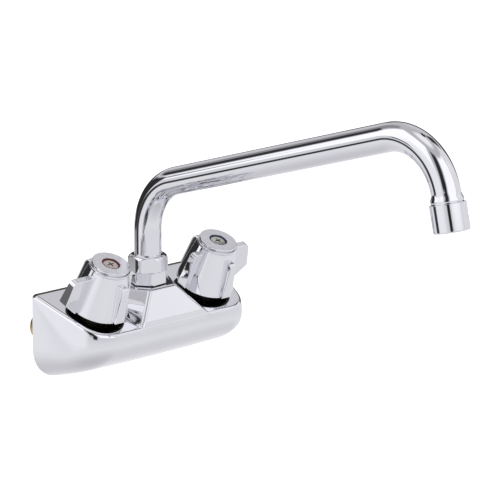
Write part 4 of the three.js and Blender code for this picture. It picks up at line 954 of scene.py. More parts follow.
def hump_solid(s, back):
    """The raised centre with its rounded edges, standing in the deck."""
    curve = [tuple(point) for point in brow_profile(s) if point[1] > s.deck_height]
    deep = s.deck_height - s.wall / 2
    outline = [(-s.hump_front, s.hump_top), *curve, (curve[-1][0], deep)]
    outline += [(back, deep), (back, s.hump_top)]
    flank = hump_flank(s, 0.0)
    widths = [flank(y, max(z, curve[-1][1])) for y, z in outline]
    mesh, work = prism("hump", outline, widths)
    count = len(outline)
    front = list(range(len(curve) + 1))
    rounded = [{i, i + 1} for i in front[:-1]] + [{0, count}, {0, count - 1}]
    rounded += [{count + i, count + i + 1} for i in front[:-1]]
    rounded += [{count, 2 * count - 1}, {count - 1, 2 * count - 1}]
    edges = [edge for edge in work.edges if {v.index for v in edge.verts} in rounded]
    bmesh.ops.bevel(
        work, geom=edges, offset=s.hump_bevel, segments=5, profile=0.5, affect="EDGES"
    )
    return closed_prism(mesh, work)


def inlet_rod(name, place, radius, start, end):
    """A cylinder along an inlet axis, between two distances from the wall plane."""
    low, high = min(start, end), max(start, end)
    matrix = along_matrix(Vector((place.x, low, 0.0)), Vector((place.x, high, 0.0)))
    return rod(name, radius, 0.0, high - low, matrix)


def bosses(s):
    """Solid bosses in the hollow: valve chambers, inlet sockets, spout boss and waterway."""
    parts = []
    ends = []
    for prefix in ("hot", "cold"):
        valve = valve_matrix(prefix)
        foot = -s.chamber_depth - s.port_depth - s.port_floor
        parts.append(rod("boss", s.chamber + s.chamber_wall, foot, -s.wall / 2, valve))
        inner = (valve @ Vector((0, 0, -s.chamber_depth))).y - s.socket_reach
        outer = s.socket + s.socket_wall
        parts.append(inlet_rod("boss", valve.translation, outer, -s.socket_setback, inner))
        ends.append(valve @ Vector((0, 0, -s.waterway_depth)))
    outer = s.waterway + s.waterway_wall
    across = along_matrix(ends[0], ends[1])
    parts.append(rod("boss", outer, 0.0, (ends[1] - ends[0]).length, across))
    low = ends[0].z - outer
    parts.append(rod("boss", s.stub + s.chamber_wall, low, s.hump_top - s.wall / 2, spout_matrix()))
    return parts


def bores(s):
    """Cutters for the valve chambers, the inlet sockets, the ports and the waterway."""
    parts = []
    ends = []
    for prefix in ("hot", "cold"):
        valve = valve_matrix(prefix)
        parts.append(rod("bore", s.chamber, -s.chamber_depth, OVERLAP, valve))
        foot = -s.chamber_depth - s.port_depth
        parts.append(rod("bore", s.port, foot, OVERLAP - s.chamber_depth, valve))
        end = -s.socket_setback - s.socket_depth
        parts.append(inlet_rod("bore", valve.translation, s.socket, OVERLAP, end))
        port_y = (valve @ Vector((0, 0, foot))).y - s.port / 2
        parts.append(inlet_rod("bore", valve.translation, s.waterway, end + OVERLAP, port_y))
        ends.append(valve @ Vector((0, 0, -s.waterway_depth)))
    across = along_matrix(ends[0], ends[1])
    parts.append(rod("bore", s.waterway, 0.0, (ends[1] - ends[0]).length, across))
    stub_foot = s.hump_top - s.stub_depth
    spout = spout_matrix()
    parts.append(rod("bore", s.stub, stub_foot, s.hump_top + OVERLAP, spout))
    parts.append(rod("bore", s.port, ends[0].z, stub_foot + OVERLAP, spout))
    return parts


class FAUCET_OT_body(bpy.types.Operator):
    """Build the hollow body casting with its raised centre, bosses and bores"""

    bl_idname = "faucet.body"
    bl_label = "Body Casting"

    def execute(self, context):
        s = settings().body
        plate, raw = finish("body_plate"), finish("raw_casting")
        shell = ring_object("body_shell", body_rings(s, 0.0, 0.0, BODY_COUNTS, browed=True))
        for material in (plate, raw):
            shell.data.materials.append(material)
        skin = [hump_solid(s, -s.hump_setback)]
        hollow = ring_object("hollow", body_rings(s, s.wall, OVERLAP, HOLLOW_COUNTS))
        steps = (
            ("UNION", skin, plate),
            ("DIFFERENCE", [hollow, hump_hollow(s, OVERLAP)], raw),
            ("UNION", bosses(s), raw),
            ("DIFFERENCE", bores(s), raw),
        )
        for operation, tools, material in steps:
            for tool in tools:
                tool.data.materials.append(material)
            combine(shell, operation, tools)
        names = [material.name for material in shell.data.materials]
        inside = [names[face.material_index] == raw.name for face in shell.data.polygons]
        dress(shell, "faucet_body", "body_casting", [plate.name, raw.name])
        set_finishes(shell, inside)
        return {"FINISHED"}


# ------------------------------------------------------------------ handles

# Angles over a prong's end, its side and the fillet at its root, and on over the barrel.
PRONG_COUNTS = {"end": 11, "side": 19, "fillet": 8, "barrel": 10}
ROOT_SINE = 0.9  # the most that a prong's half thickness may be of the barrel's radius
ROOT_TURN = 0.09  # the angle round the barrel that the fillet at a prong's root takes
ROOT_LIMIT = math.radians(40)  # the angle from a prong's middle where that fillet ends at most
LEAST_SIDE = 0.01  # the least angle that a prong's side takes
LEAST_ANGLE = 1e-4  # keeps the middle of a prong from dividing by nothing

# Rows up a handle: over the skirt's foot, and over the prongs' foot, middle and top.
HANDLE_ROWS = {"skirt": 5, "foot": 9, "middle": 34, "top": 18}
SCREW_ROWS = 60  # from a screw's rim to its middle
# painted shade: the screw's recess is dark between these parts of its depth
SHADE_FROM, SHADE_TO = 0.25, 1.2  # where a screw's recess is dark, as parts of its depth


def quarter_fall(share):
    """How far a quarter circle falls over a share of its radius: 1 - sqrt(1 - v^2)."""
    return 1 - np.sqrt(1 - share**2)


def prong_reach(s, heights, is_long):
    """How far a prong reaches at each height.

    Straight lines between its foot, its knee and its top; a quarter circle draws it in at
    the top and a parabola at the foot.
    """
    knots = [(s.prong_foot, s.short_foot), (s.prong_top, s.short_top)]
    if is_long:
        knots = [
            (s.prong_foot, s.long_foot),
            (s.long_knee_height, s.long_knee),
            (s.prong_top, s.long_top),
        ]
    reach = np.interp(heights, *zip(*knots))
    down = np.clip((heights - (s.prong_top - s.prong_round)) / s.prong_round, 0, 1)
    up = np.clip(1 - (heights - s.prong_foot) / (2 * s.prong_edge), 0, 1)
    return reach - s.prong_round * quarter_fall(down) - s.prong_edge * up**2


def prong_half(s, heights):
    """Half of a prong's thickness at each height, with rounded ends."""
    share = (s.prong_top - heights) / (s.prong_top - s.prong_foot)
    half = (s.prong_thickness + (s.prong_spread - s.prong_thickness) * share) / 2
    down = np.clip(1 - (s.prong_top - heights) / s.prong_edge, 0, 1)
    up = np.clip(1 - (heights - s.prong_foot) / s.prong_edge, 0, 1)
    return half - s.prong_edge * quarter_fall(down) - s.prong_edge * quarter_fall(up)


def eighth_angles(reach, half, barrel):
    """Angles from a prong's middle to half way to the next prong, row by row.

    They are close together at the prong's outer edge and at its root, where the surface
    turns sharply, and wide apart on the barrel.
    """
    edge = np.arctan2(half, reach)[:, None]
    root = np.arcsin(np.clip(half / barrel, 0, ROOT_SINE))[:, None]
    root = np.maximum(root, edge + LEAST_SIDE)
    fillet = np.minimum(root + ROOT_TURN, ROOT_LIMIT)
    end, side, foot, free = (np.linspace(0, 1, count) for count in PRONG_COUNTS.values())
    side = smooth_step(side)[1:] * 0.5 + side[1:] * 0.5
    return np.concatenate(
        [
            edge * (1 - (1 - end) ** 2),
            edge + (root - edge) * side,
            root + (fillet - root) * foot[1:],
            fillet + (math.pi / 4 - fillet) * free[1:],
        ],
        axis=1,
    )


def barrel_rings(s, heights, barrel, with_prongs):
    """Rings of the handle's outside: angle and radius at each height.

    The radius is the larger of the barrel's and the prong's, and the prong's is the smaller
    of its side half/sin(d) and its end reach/cos(d) at the angle d from its middle. Both
    choices are blended over a millimetre or two, which leaves fillets and rounded edges.
    """
    angles = []
    radii = []
    half = prong_half(s, heights)
    for k in range(4):
        reach = prong_reach(s, heights, k == 0)
        eighth = eighth_angles(reach, half, barrel)
        side = half[:, None] / np.sin(np.maximum(eighth, LEAST_ANGLE))
        end = reach[:, None] / np.cos(eighth)
        prong = blended_min(side, end, 2 * s.prong_edge)
        radius = blended_max(prong, barrel[:, None], 1.5 * s.prong_edge)
        radius = np.where(with_prongs[:, None], radius, barrel[:, None])
        whole = np.concatenate([-eighth[:, :0:-1], eighth[:, :-1]], axis=1)
        angles.append(whole + k * math.pi / 2)
        radii.append(np.concatenate([radius[:, :0:-1], radius[:, :-1]], axis=1))
    return np.concatenate(angles, axis=1), np.concatenate(radii, axis=1)


def barrel_radius(s, height):
    """The barrel's outer radius, which falls evenly from the skirt up to the shoulder."""
    slope = (s.skirt - s.ring) / (s.shoulder - s.skirt_gap)
    return s.skirt - slope * (height - s.skirt_gap)


def handle_rings(s):
    """All rings of a handle, from its socket down the hub, up the outside and into the cap."""
    quarter = np.linspace(0, math.pi / 2, HANDLE_ROWS["skirt"])
    skirt_foot = s.skirt_gap + s.edge * (1 - np.cos(quarter))
    low = np.linspace(s.prong_foot, s.prong_foot + 2 * s.prong_edge, HANDLE_ROWS["foot"])
    middle = np.linspace(low[-1], s.prong_top - s.prong_round, HANDLE_ROWS["middle"])[1:]
    turning = np.linspace(0, math.pi / 2, HANDLE_ROWS["top"])[1:]
    high = s.prong_top - s.prong_round * (1 - np.sin(turning))
    prongs = np.concatenate([low, middle, high])
    heights = np.concatenate([skirt_foot, [s.prong_foot], prongs, [s.prong_top, s.shoulder]])
    barrel = barrel_radius(s, heights)
    barrel[: len(quarter)] -= s.edge * (1 - np.sin(quarter))
    first = len(skirt_foot) + 1
    with_prongs = np.zeros(len(heights), bool)
    with_prongs[first : first + len(prongs)] = True
    clipped = np.clip(heights, s.prong_foot, s.prong_top - HAIR)
    angles, radii = barrel_rings(s, clipped, barrel, with_prongs)

    roof = s.shoulder - s.roof
    cap_foot = s.top - s.cap_thickness
    ring_top = cap_foot - s.groove
    inside = [
        (s.screw_hole, s.socket_top),
        (s.spline, s.socket_top),
        (s.spline, s.hub_bottom, SOFT),
        (s.hub, s.hub_bottom, FULL),
        (s.hub, roof, s.hub_fillet),
        (barrel_radius(s, roof) - s.wall, roof, s.roof_fillet),
        (s.skirt - s.wall, s.skirt_gap, ROUND),
    ]
    upper = [
        (s.ring, s.shoulder, SOFT),
        (s.ring, ring_top, s.edge),
        (s.cap - s.groove_depth, ring_top, FINE),
        (s.cap - s.groove_depth, cap_foot, FINE),
        (s.cap, cap_foot, SOFT),
        (s.cap, s.top, s.edge),
        (s.recess, s.top, SOFT),
        (s.recess, s.top - s.recess_depth, FINE),
        (s.counterbore, s.top - s.recess_depth),
        (s.counterbore, s.screw_seat),
        (s.screw_hole, s.screw_seat),
    ]
    around = angles.shape[1]
    low_radius, low_height = rounded_rows(inside, around)
    high_radius, high_height = rounded_rows(upper, around)
    outer_height = np.broadcast_to(heights[:, None], radii.shape)
    low_angle = np.broadcast_to(angles[:1], low_radius.shape)
    high_angle = np.broadcast_to(angles[-1:], high_radius.shape)
    return polar_rings(
        np.concatenate([low_radius, radii, high_radius]),
        np.concatenate([low_height, outer_height, high_height]),
        np.concatenate([low_angle, angles, high_angle]),
    )


def handle_matrix(prefix):
    """The handle's frame at rest: its long prong points outwards."""
    valve = valve_matrix(prefix)
    if valve.translation.x < 0:
        return valve @ Matrix.Rotation(math.pi, 4, "Z")
    return valve


def screw_rings(s):
    """Rings of a screw: shank, head and a crossed recess.

    The recess is a depth that falls off smoothly past a slot's half width and its reach,
    taken where either of two crossed slots is deeper.
    """
    top = s.top - s.screw_sink
    seat = top - s.screw_head_height
    outside = [
        (0.0, seat - s.screw_length),
        (s.screw_shank, seat - s.screw_length, SOFT),
        (s.screw_shank, seat),
        (s.screw_head, seat, BROKEN),
        (s.screw_head, top - s.screw_crown, FINE),
    ]
    side_radius, side_height = rounded_rows(outside, AROUND)
    share = np.linspace(1.0, 0.0, SCREW_ROWS)[:, None]
    angles = full_turn(AROUND)
    radius = s.screw_head * share * np.ones(AROUND)
    crown = top - s.screw_crown * share**4
    x, y = np.abs(radius * np.cos(angles)), np.abs(radius * np.sin(angles))

    def slot(across, along):
        side = smooth_step((s.slot_half - across) / s.slot_edge + 0.5)
        return side * smooth_step((s.slot_reach - along) / s.slot_edge + 0.5)

    height = crown - s.slot_depth * np.maximum(slot(x, y), slot(y, x))
    radius = np.concatenate([side_radius, radius])
    return polar_rings(radius, np.concatenate([side_height, height]), angles)


def face_middles(obj, place):
    """Middles of an object's faces in the frame of a matrix, as distance from z and height."""
    mesh = obj.data
    middles = np.empty(len(mesh.polygons) * 3)
    mesh.polygons.foreach_get("center", middles)
    back = np.array(place.inverted())
    middles = middles.reshape(-1, 3) @ back[:3, :3].T + back[:3, 3]
    return np.hypot(middles[:, 0], middles[:, 1]), middles[:, 2]


def finish_lever_and_shade_skirt(s, lever, place):
    """Gives the skirt's inside painted shade, the dark brass finish where the handle's hollow lies
    in shadow, and the cap's flat face the satin one.
    """
    radius, height = face_middles(lever, place)
    inside = radius < barrel_radius(s, height) - s.wall / 2
    inside &= height < s.shoulder - s.edge
    face = (radius > s.recess) & (height > s.top - HAIR)
    set_finishes(lever, inside + 2 * face)


def shade_screw_recess(s, screw, place):
    """Paints shade into a screw's crossed recess, between two parts of its depth, with the dark
    brass finish.
    """
    radius, height = face_middles(screw, place)
    depth = (s.top - s.screw_sink - height) / s.slot_depth
    inside = radius < s.slot_reach + s.slot_half
    set_finishes(screw, inside & (depth > SHADE_FROM) & (depth < SHADE_TO))


class FAUCET_OT_handles(bpy.types.Operator):
    """Build the two handles with their prongs, screws and index rings"""

    bl_idname = "faucet.handles"
    bl_label = "Handles"

    def execute(self, context):
        s = settings().handle
        floor = s.top - s.recess_depth + CLEAR
        top = s.top - s.index_sink
        outer = s.recess - CLEAR / 2
        index_corners = [
            (s.index_bore, floor),
            (outer, floor),
            (outer, top, FINE),
            (s.index_bore, top, FINE),
        ]
        for prefix, metal in (("hot", "copper"), ("cold", "brass")):
            body = prefix + "_handle"
            place = handle_matrix(prefix)
            lever = ring_object(prefix + "_lever_handle", handle_rings(s), True, place)
            # the dark brass on the skirt's inside is painted shade
            finishes = ["chrome_plate", "dark_brass", "satin_chrome"]
            dress(lever, body, body, finishes, crease=40.0)
            finish_lever_and_shade_skirt(s, lever, place)
            screw = ring_object(prefix + "_cap_screw", screw_rings(s), False, place)
            # the dark brass in the screw's recess is painted shade
            finishes = [metal + "_plate", "dark_brass"]
            node = prefix + "_handle_screw"
            dress(screw, body, node, finishes, crease=60.0)
            shade_screw_recess(s, screw, place)
            index = turned(prefix + "_index", index_corners, place)
            node = prefix + "_index_ring"
            dress(index, body, node, [prefix + "_enamel"])
        return {"FINISHED"}


# ------------------------------------------------------------------ spout

SPOUT_ROWS = 620  # rings along the tube's outside
SWELL_PART = 0.85  # the part of the swage over which the tube swells
NUT_ROWS = 8  # rings over the nut's rounded top


def spout_line(s):
    """The tube's centre line as (distance from the wall, height, heading) at even spacing.

    The heading, an angle from straight up, grows at 1/radius along each bend and stays on
    the straights; the place is the running sum of its sine and cosine.
    """
    legs = [
        (s.riser_top - s.foot, 0.0),
        (s.bend * (math.pi / 2 - s.rise), 1 / s.bend),
        (s.run, 0.0),
        (s.outlet_bend * s.outlet_turn, 1 / s.outlet_bend),
        (s.outlet, 0.0),
    ]
    ends = np.cumsum([0.0] + [leg[0] for leg in legs])
    headings = np.cumsum([0.0] + [leg[0] * leg[1] for leg in legs])
    travelled = np.linspace(0.0, ends[-1], SPOUT_ROWS)
    heading = np.interp(travelled, ends, headings)
    step = travelled[1] - travelled[0]
    middle = (heading[1:] + heading[:-1]) / 2
    out = np.concatenate([[0.0], np.cumsum(np.sin(middle) * step)]) + s.from_wall
    up = np.concatenate([[0.0], np.cumsum(np.cos(middle) * step)]) + s.foot
    return travelled, out, up, heading


def tube_rings(s):
    """Rings of the tube: each is a circle across the centre line's heading.

    The radius is the tube's and swells to the swage with a smooth step near the outlet. The
    rings come back through the bore, at half as many places, and close over both ends.
    """
    travelled, out, up, heading = spout_line(s)
    left = travelled[-1] - travelled
    swell = smooth_step((s.swage_length - left) / (SWELL_PART * s.swage_length))
    lip = smooth_step((s.lip_start - left) / s.swage_lip)
    radius = s.tube + (s.swage - s.tube) * swell - s.swage_lip * lip
    inside = np.linspace(SPOUT_ROWS - 1, 0, SPOUT_ROWS // 2).round().astype(int)
    rows = np.concatenate([np.arange(SPOUT_ROWS), inside])
    radius = np.concatenate([radius, np.full(len(inside), s.tube - s.tube_wall)])[:, None]
    out, up, heading = out[rows, None], up[rows, None], heading[rows, None]
    angles = full_turn(AROUND_TUBE)
    across, over = radius * np.cos(angles), radius * np.sin(angles)
    y = -(out + over * np.cos(heading))
    z = up - over * np.sin(heading)
    return np.stack([across, y, z], axis=-1)


def outlet_matrix(s):
    """The aerator's frame: z the way the water leaves, the origin at its top edge."""
    _, out, up, heading = spout_line(s)
    start = Vector((0.0, -out[-1], up[-1]))
    way = Vector((0.0, -math.sin(heading[-1]), math.cos(heading[-1])))
    return along_matrix(start, start + way)


def hexagon_radius(flats, twist, angles, edge):
    """Radius of a hexagon with rounded corners: flats/2cos(d) at d from a flat's middle."""
    sixth = math.pi / 3
    to_flat = np.mod(angles - twist, sixth) - sixth / 2
    radius = flats / 2 / np.cos(to_flat)
    return blended_min(radius, flats / math.sqrt(3) - edge, 3 * edge)


def nut_rings(s):
    """The nut: a hexagon whose top is rounded off, which leaves a curve on each flat.

    Outside the shoulder's start the top falls with the square of the distance.
    """
    angles = full_turn(AROUND_HEXAGON)
    radius = hexagon_radius(s.nut_flats, s.nut_turn, angles, s.nut_edge)
    corner = s.nut_flats / math.sqrt(3) - s.nut_edge
    start = corner - s.nut_shoulder
    share = np.linspace(1.0, 0.0, NUT_ROWS)[:-1, None]
    shoulder_radius = start + (radius - start) * share
    fall = s.nut_shoulder * ((shoulder_radius - start) / s.nut_shoulder) ** 2
    shoulder = list(zip(shoulder_radius, s.nut_top - fall))
    foot = np.maximum(s.nut_foot, s.nut_foot + s.nut_foot_chamfer - (corner - radius))
    apart = 2 * HAIR  # keeps the chamfer's edges apart on the flats, where it has no height
    corners = [
        (s.nut_thread, s.nut_foot),
        (np.minimum(radius, corner - s.nut_foot_chamfer) - apart, s.nut_foot, BROKEN),
        (radius, foot + apart, FINE),
        (*shoulder[0], SOFT),
        *shoulder[1:],
        (start, s.nut_top),
        (s.nut_hole, s.nut_top, ROUND),
        (s.nut_hole, s.nut_top - s.nut_lip),
        (s.nut_thread, s.nut_top - s.nut_lip),
    ]
    return polar_rings(*rounded_rows(corners, AROUND_HEXAGON), angles)


def adapter_rings(s, hump_top):
    """The adapter: stub, hexagon with softened rims, threaded neck and the sleeve's bore."""
    angles = full_turn(AROUND_HEXAGON)
    radius = hexagon_radius(s.adapter_flats, s.adapter_turn, angles, s.adapter_edge)
    stub_foot = hump_top - s.stub_depth
    neck_top = s.adapter_top + s.adapter_neck
    corners = [
        (s.socket, stub_foot),
        (s.stub, stub_foot, FULL),
        (s.stub, s.adapter_foot),
        (radius, s.adapter_foot, s.adapter_rim),
        (radius, s.adapter_top, s.adapter_rim),
        (s.stub, s.adapter_top),
        (s.stub, neck_top, FULL),
        (s.socket, neck_top, SOFT),
    ]
    return polar_rings(*rounded_rows(corners, AROUND_HEXAGON), angles)


class FAUCET_OT_spout(bpy.types.Operator):
    """Build the spout's bent tube"""

    bl_idname = "faucet.spout"
    bl_label = "Spout Tube"

    def execute(self, context):
        tube = ring_object("bent_spout", tube_rings(settings().spout), True)
        dress(tube, "spout", "spout_tube", ["chrome_plate"], crease=40.0)
        return {"FINISHED"}


class FAUCET_OT_spout_joint(bpy.types.Operator):
    """Build the adapter, its gasket and the nut at the spout's foot"""

    bl_idname = "faucet.spout_joint"
    bl_label = "Spout Joint"

    def execute(self, context):
        s = settings().spout
        hump_top = settings().body.hump_top
        place = spout_matrix()
        nut = ring_object("union_nut", nut_rings(s), True, place)
        dress(nut, "faucet_body", "spout_nut", ["chrome_plate"], crease=24.0)
        adapter = ring_object("hex_adapter", adapter_rings(s, hump_top), True, place)
        dress(adapter, "faucet_body", "spout_adapter", ["chrome_plate"], crease=24.0)
        inner, low, high = s.stub + CLEAR, hump_top + CLEAR, s.adapter_foot - CLEAR
        corners = [(inner, low), (s.gasket, low, SOFT), (s.gasket, high, SOFT), (inner, high)]
        gasket = turned("foot_gasket", corners, place)
        dress(gasket, "faucet_body", "spout_adapter_gasket", ["black_rubber"])
        return {"FINISHED"}


# ------------------------------------------------------------------ aerator

WIRE_SIDES = 6  # flat sides of a wire of the screen
WIRE_STEPS = 4  # rings of a wire for each wire that it crosses


def screen_object(s, place):
    """The outlet's screen: a turned rim filled by woven wires.

    A wire is a round tube whose middle rises and falls as a cosine, once for every two
    wires that it crosses, and is cut short where it meets the rim.
    """
    low, high = s.screen_top, s.screen_top + s.screen
    inner = s.mouth - FINE
    rim = [
        (inner, low, BROKEN),
        (s.screen_radius, low, BROKEN),
        (s.screen_radius, high, BROKEN),
        (inner, high, BROKEN),
    ]
    parts = [turned("rim", rim, place, around=AROUND_TUBE)]
    count = int(s.mouth / s.wire_pitch)
    angles = full_turn(WIRE_SIDES)
    for direction in (0, 1):
        for k in range(-count, count + 1):
            offset = k * s.wire_pitch
            half = math.sqrt(s.mouth**2 - offset**2)
            steps = 2 + WIRE_STEPS * int(half / s.wire_pitch)
            along = np.linspace(-half, half, steps)[:, None]
            sign = 1 if (k + direction) % 2 else -1
            wave = sign * s.wire * np.cos(along * math.pi / s.wire_pitch)
            side = offset + s.wire * np.cos(angles) + 0 * along
            rise = (low + high) / 2 + wave + s.wire * np.sin(angles)
            run = along + 0 * side
            if direction == 0:
                rings = np.stack([run, side, rise], axis=-1)[:, ::-1]
            else:
                rings = np.stack([side, run, rise], axis=-1)
            caps = [np.broadcast_to(rings[i].mean(axis=0), rings[:1].shape) for i in (0, -1)]
            rings = np.concatenate([caps[0], rings, caps[1]])
            parts.append(ring_object("wire", rings[::-1], False, place))
    return merged("wire_screen", parts)


class FAUCET_OT_aerator(bpy.types.Operator):
    """Build the aerator's shell and screen at the outlet"""

    bl_idname = "faucet.aerator"
    bl_label = "Aerator"

    def execute(self, context):
        s = settings().aerator
        place = outlet_matrix(settings().spout)
        corners = [
            (s.bore, 0.0),
            (s.radius, 0.0, s.top_edge),
            (s.radius, s.shell, s.edge),
            (s.mouth, s.shell, ROUND),
            (s.mouth, s.mouth_top),
            (s.bore, s.mouth_top),
        ]
        shell = turned("aerator_barrel", corners, place)
        dress(shell, "spout", "aerator_shell", ["chrome_plate"])
        screen = screen_object(s, place)
        dress(screen, "spout", "aerator_screen", ["stainless_steel"])
        return {"FINISHED"}


# ------------------------------------------------------------------ inlets and inner pieces

THREAD_ROWS = 14  # rings for each turn of a thread
WAVE_HEIGHT = 1.15  # of a thread's wave before it is cut flat, in thread depths
CREST_CUT = 0.08  # how much of the wave is cut off at the crests, in thread depths


def nipple_rings(s):
    """A threaded pipe: the outer radius dips by a triangle wave of height/pitch - turn.

    The wave is cut flat at its crests and roots, a chamfer takes both ends down, and the
    bore closes the skin inside.
    """
    high = s.inner + s.reach
    rows = np.linspace(0.0, high, int(high / s.pitch * THREAD_ROWS))[:, None]
    angles = full_turn(AROUND_THREAD)
    phase = np.mod(rows / s.pitch - angles / (2 * math.pi), 1.0)
    flank = np.clip(WAVE_HEIGHT * np.abs(2 * phase - 1) - CREST_CUT, 0.0, 1.0)
    chamfer = np.maximum(s.chamfer - np.minimum(rows, high - rows), 0.0)
    radius = np.minimum(s.radius - s.thread_depth * flank, s.radius - chamfer)
    bore = np.full((1, AROUND_THREAD), s.bore)
    rows = np.concatenate([rows[:1], rows, rows[-1:]])
    return polar_rings(np.concatenate([bore, radius, bore]), rows, angles)


class FAUCET_OT_inlets(bpy.types.Operator):
    """Build the two threaded inlet nipples"""

    bl_idname = "faucet.inlets"
    bl_label = "Inlet Nipples"

    def execute(self, context):
        s = settings().inlet
        for prefix in ("hot", "cold"):
            x = valve_matrix(prefix).translation.x
            start = Vector((x, -s.inner, 0.0))
            place = along_matrix(start, start + Vector((0.0, 1.0, 0.0)))
            nipple = ring_object(prefix + "_threaded_inlet", nipple_rings(s), True, place)
            node = prefix + "_inlet_nipple"
            dress(nipple, "faucet_body", node, ["machined_brass"], crease=50.0)
        return {"FINISHED"}


# The finishes of the CAD nodes that stay, by the ends of their names.
INNER_FINISHES = {
    # the bonnets lie in the handles' shade and get the dark brass that paints it
    "_valve_bonnet": "dark_brass",
    "_spindle": "machined_brass",
    "swivel_sleeve": "machined_brass",
    "_retaining_clip": "stainless_steel",
    "_snap_ring": "stainless_steel",
    "_disc": "ground_ceramic",
    "_seal": "black_rubber",
    "_gasket": "black_rubber",
    "_o_ring": "black_rubber",
    "o_ring_upper": "black_rubber",
    "o_ring_lower": "black_rubber",
    "aerator_washer": "black_rubber",
    "aerator_insert": "white_nylon",
}


class FAUCET_OT_inner_pieces(bpy.types.Operator):
    """Give the pieces inside the valves, the spout joint and the aerator their finishes"""

    bl_idname = "faucet.inner_pieces"
    bl_label = "Inner Pieces"

    def execute(self, context):
        for name, node in NODES.items():
            for ending, kind in INNER_FINISHES.items():
                if name.endswith(ending):
                    node.data.materials.clear()
                    node.data.materials.append(finish(kind))
        return {"FINISHED"}


# ------------------------------------------------------------------ stage

AIM = Vector((-27.23, -156.21, 83.92)) * MM  # the point in the middle of the picture
SENSOR_WIDTH = 36.0  # of the camera, in millimetres
FLOOR_GLOW = 0.55  # what the floor adds for the camera alone, so that it shows white
WHITE = (1.0, 1.0, 1.0)

# Each lamp's place, the side of its square and its power in watts.
LAMPS = {
    "key_lamp": ((-1.6, -1.2, 1.8), 1.2, 18.0),
    "fill_lamp": ((1.8, -1.2, 1.0), 1.4, 10.0),
}

# What the metal mirrors: the level of the room's light by the sine of the elevation, and
# the light's tint.
ROOM_LEVELS = (
    (-1.0, 0.60),
    (-0.77, 0.75),
    (-0.5, 0.88),
    (-0.2, 0.84),
    (0.1, 0.72),
    (0.6, 0.58),
    (0.94, 0.56),
    (0.98, 1.05),
)
ROOM_TINT = (0.965, 0.965, 1.0)

# Soft boxes and dark cards round the tap: azimuth, half width, elevation, half height and
# soft edge in degrees, and the level of their light. Azimuth 0 is in front, 90 at the right.
CARDS = {
    "left soft box": (-119, 37, 31, 27, 5, 1.25),
    "front soft box": (2, 33, 33, 25, 7, 1.2),
    "right board": (66, 28, 26, 30, 12, 0.86),
    "right soft box": (54, 7, 32, 7, 4, 1.0),
    "low left board": (-100, 24, 2, 20, 22, 0.98),
    "back wall": (-178, 14, 36, 18, 6, 0.3),
    "back doorway": (-166, 18, 0, 14, 4, 0.03),
    "soft box frame": (-169, 9, 25, 6, 3, 0.04),
    "left flag": (-128, 4, 1, 3, 3, 0.15),
    "left table edge": (-137, 11, -13, 5, 2, 0.05),
    "right wall": (124, 16, 42, 14, 6, 0.68),
    "right table edge": (120, 25, 11, 12, 4, 0.04),
    "far table edge": (164, 20, 0, 9, 4, 0.03),
    "dark cloth": (-54, 14, 32, 26, 9, 0.03),
    "lens": (-47, 8, 11, 11, 4, 0.02),
    "ceiling bar": (110, 8, 66, 8, 3, 0.03),
    "front bar": (94, 10, 47, 12, 3, 0.03),
}


def camera_directions(s):
    """The camera's right, up and backward directions from its azimuth, elevation and roll."""
    back = Vector(
        (
            math.sin(s.azimuth) * math.cos(s.elevation),
            -math.cos(s.azimuth) * math.cos(s.elevation),
            math.sin(s.elevation),
        )
    )
    level = Vector((0.0, 0.0, 1.0)).cross(back).normalized()
    upright = back.cross(level)
    right = level * math.cos(s.roll) + upright * math.sin(s.roll)
    up = upright * math.cos(s.roll) - level * math.sin(s.roll)
    return right, up, back


def put_in_scene(name, data, place, right, up, back):
    """An object for a camera or a lamp, turned by its right, up and backward directions."""
    obj = bpy.data.objects.new(name, data)
    turned_to = Matrix((right, up, back)).transposed().to_4x4()
    obj.matrix_world = Matrix.Translation(place) @ turned_to
    bpy.context.scene.collection.objects.link(obj)
    return obj


def add_camera(s):
    """The camera at the photograph's viewing angle."""
    right, up, back = camera_directions(s)
    camera = bpy.data.cameras.new("camera")
    camera.sensor_width = SENSOR_WIDTH
    camera.lens = s.lens
    camera.clip_end = 100.0
    place = AIM + back * s.distance
    bpy.context.scene.camera = put_in_scene("camera", camera, place, right, up, back)


def add_floor(s):
    """A wide pale floor that shows white to the camera and keeps the shadow."""
    low = CAD_BOX[0][2] - s.floor_drop
    half = s.floor_size / 2
    corners = [(-half, -half, low), (half, -half, low), (half, half, low), (-half, half, low)]
    mesh = bpy.data.meshes.new("floor")
    mesh.from_pydata(corners, [], [(0, 1, 2, 3)])
    floor = new_object("floor", mesh)
    material, tree, shader = blank_material("pale_floor")
    shader.inputs["Base Color"].default_value = (*s.floor_colour, 1.0)
    shader.inputs["Roughness"].default_value = 0.9
    shader.inputs["Specular IOR Level"].default_value = 0.1
    shader.inputs["Emission Color"].default_value = (*WHITE, 1.0)
    path = tree.nodes.new("ShaderNodeLightPath")
    glow = arithmetic(tree, "MULTIPLY", path.outputs["Is Camera Ray"], FLOOR_GLOW)
    tree.links.new(glow, shader.inputs["Emission Strength"])
    mesh.materials.append(material)
    floor.visible_glossy = False


def add_lamp(name, place, side, watts):
    """A soft square lamp that faces the tap and leaves no reflection."""
    light = bpy.data.lights.new(name, "AREA")
    light.shape = "RECTANGLE"
    light.size = light.size_y = side
    light.energy = watts
    place = Vector(place)
    directions = (place - AIM).to_track_quat("Z", "Y").to_matrix().transposed()
    lamp = put_in_scene(name, light, place, *directions)
    lamp.visible_glossy = False


def window(tree, angle, middle, half, soft):
    """1 within a half width of the middle angle, falling to 0 over the soft edge."""
    away = arithmetic(tree, "SUBTRACT", angle, math.radians(middle))
    away = arithmetic(tree, "WRAP", away, math.pi, -math.pi)
    away = arithmetic(tree, "ABSOLUTE", away)
    start, end = math.radians(half - soft / 2), math.radians(half + soft / 2)
    return ranged(tree, away, 1.0, 0.0, start, end, "SMOOTHSTEP")


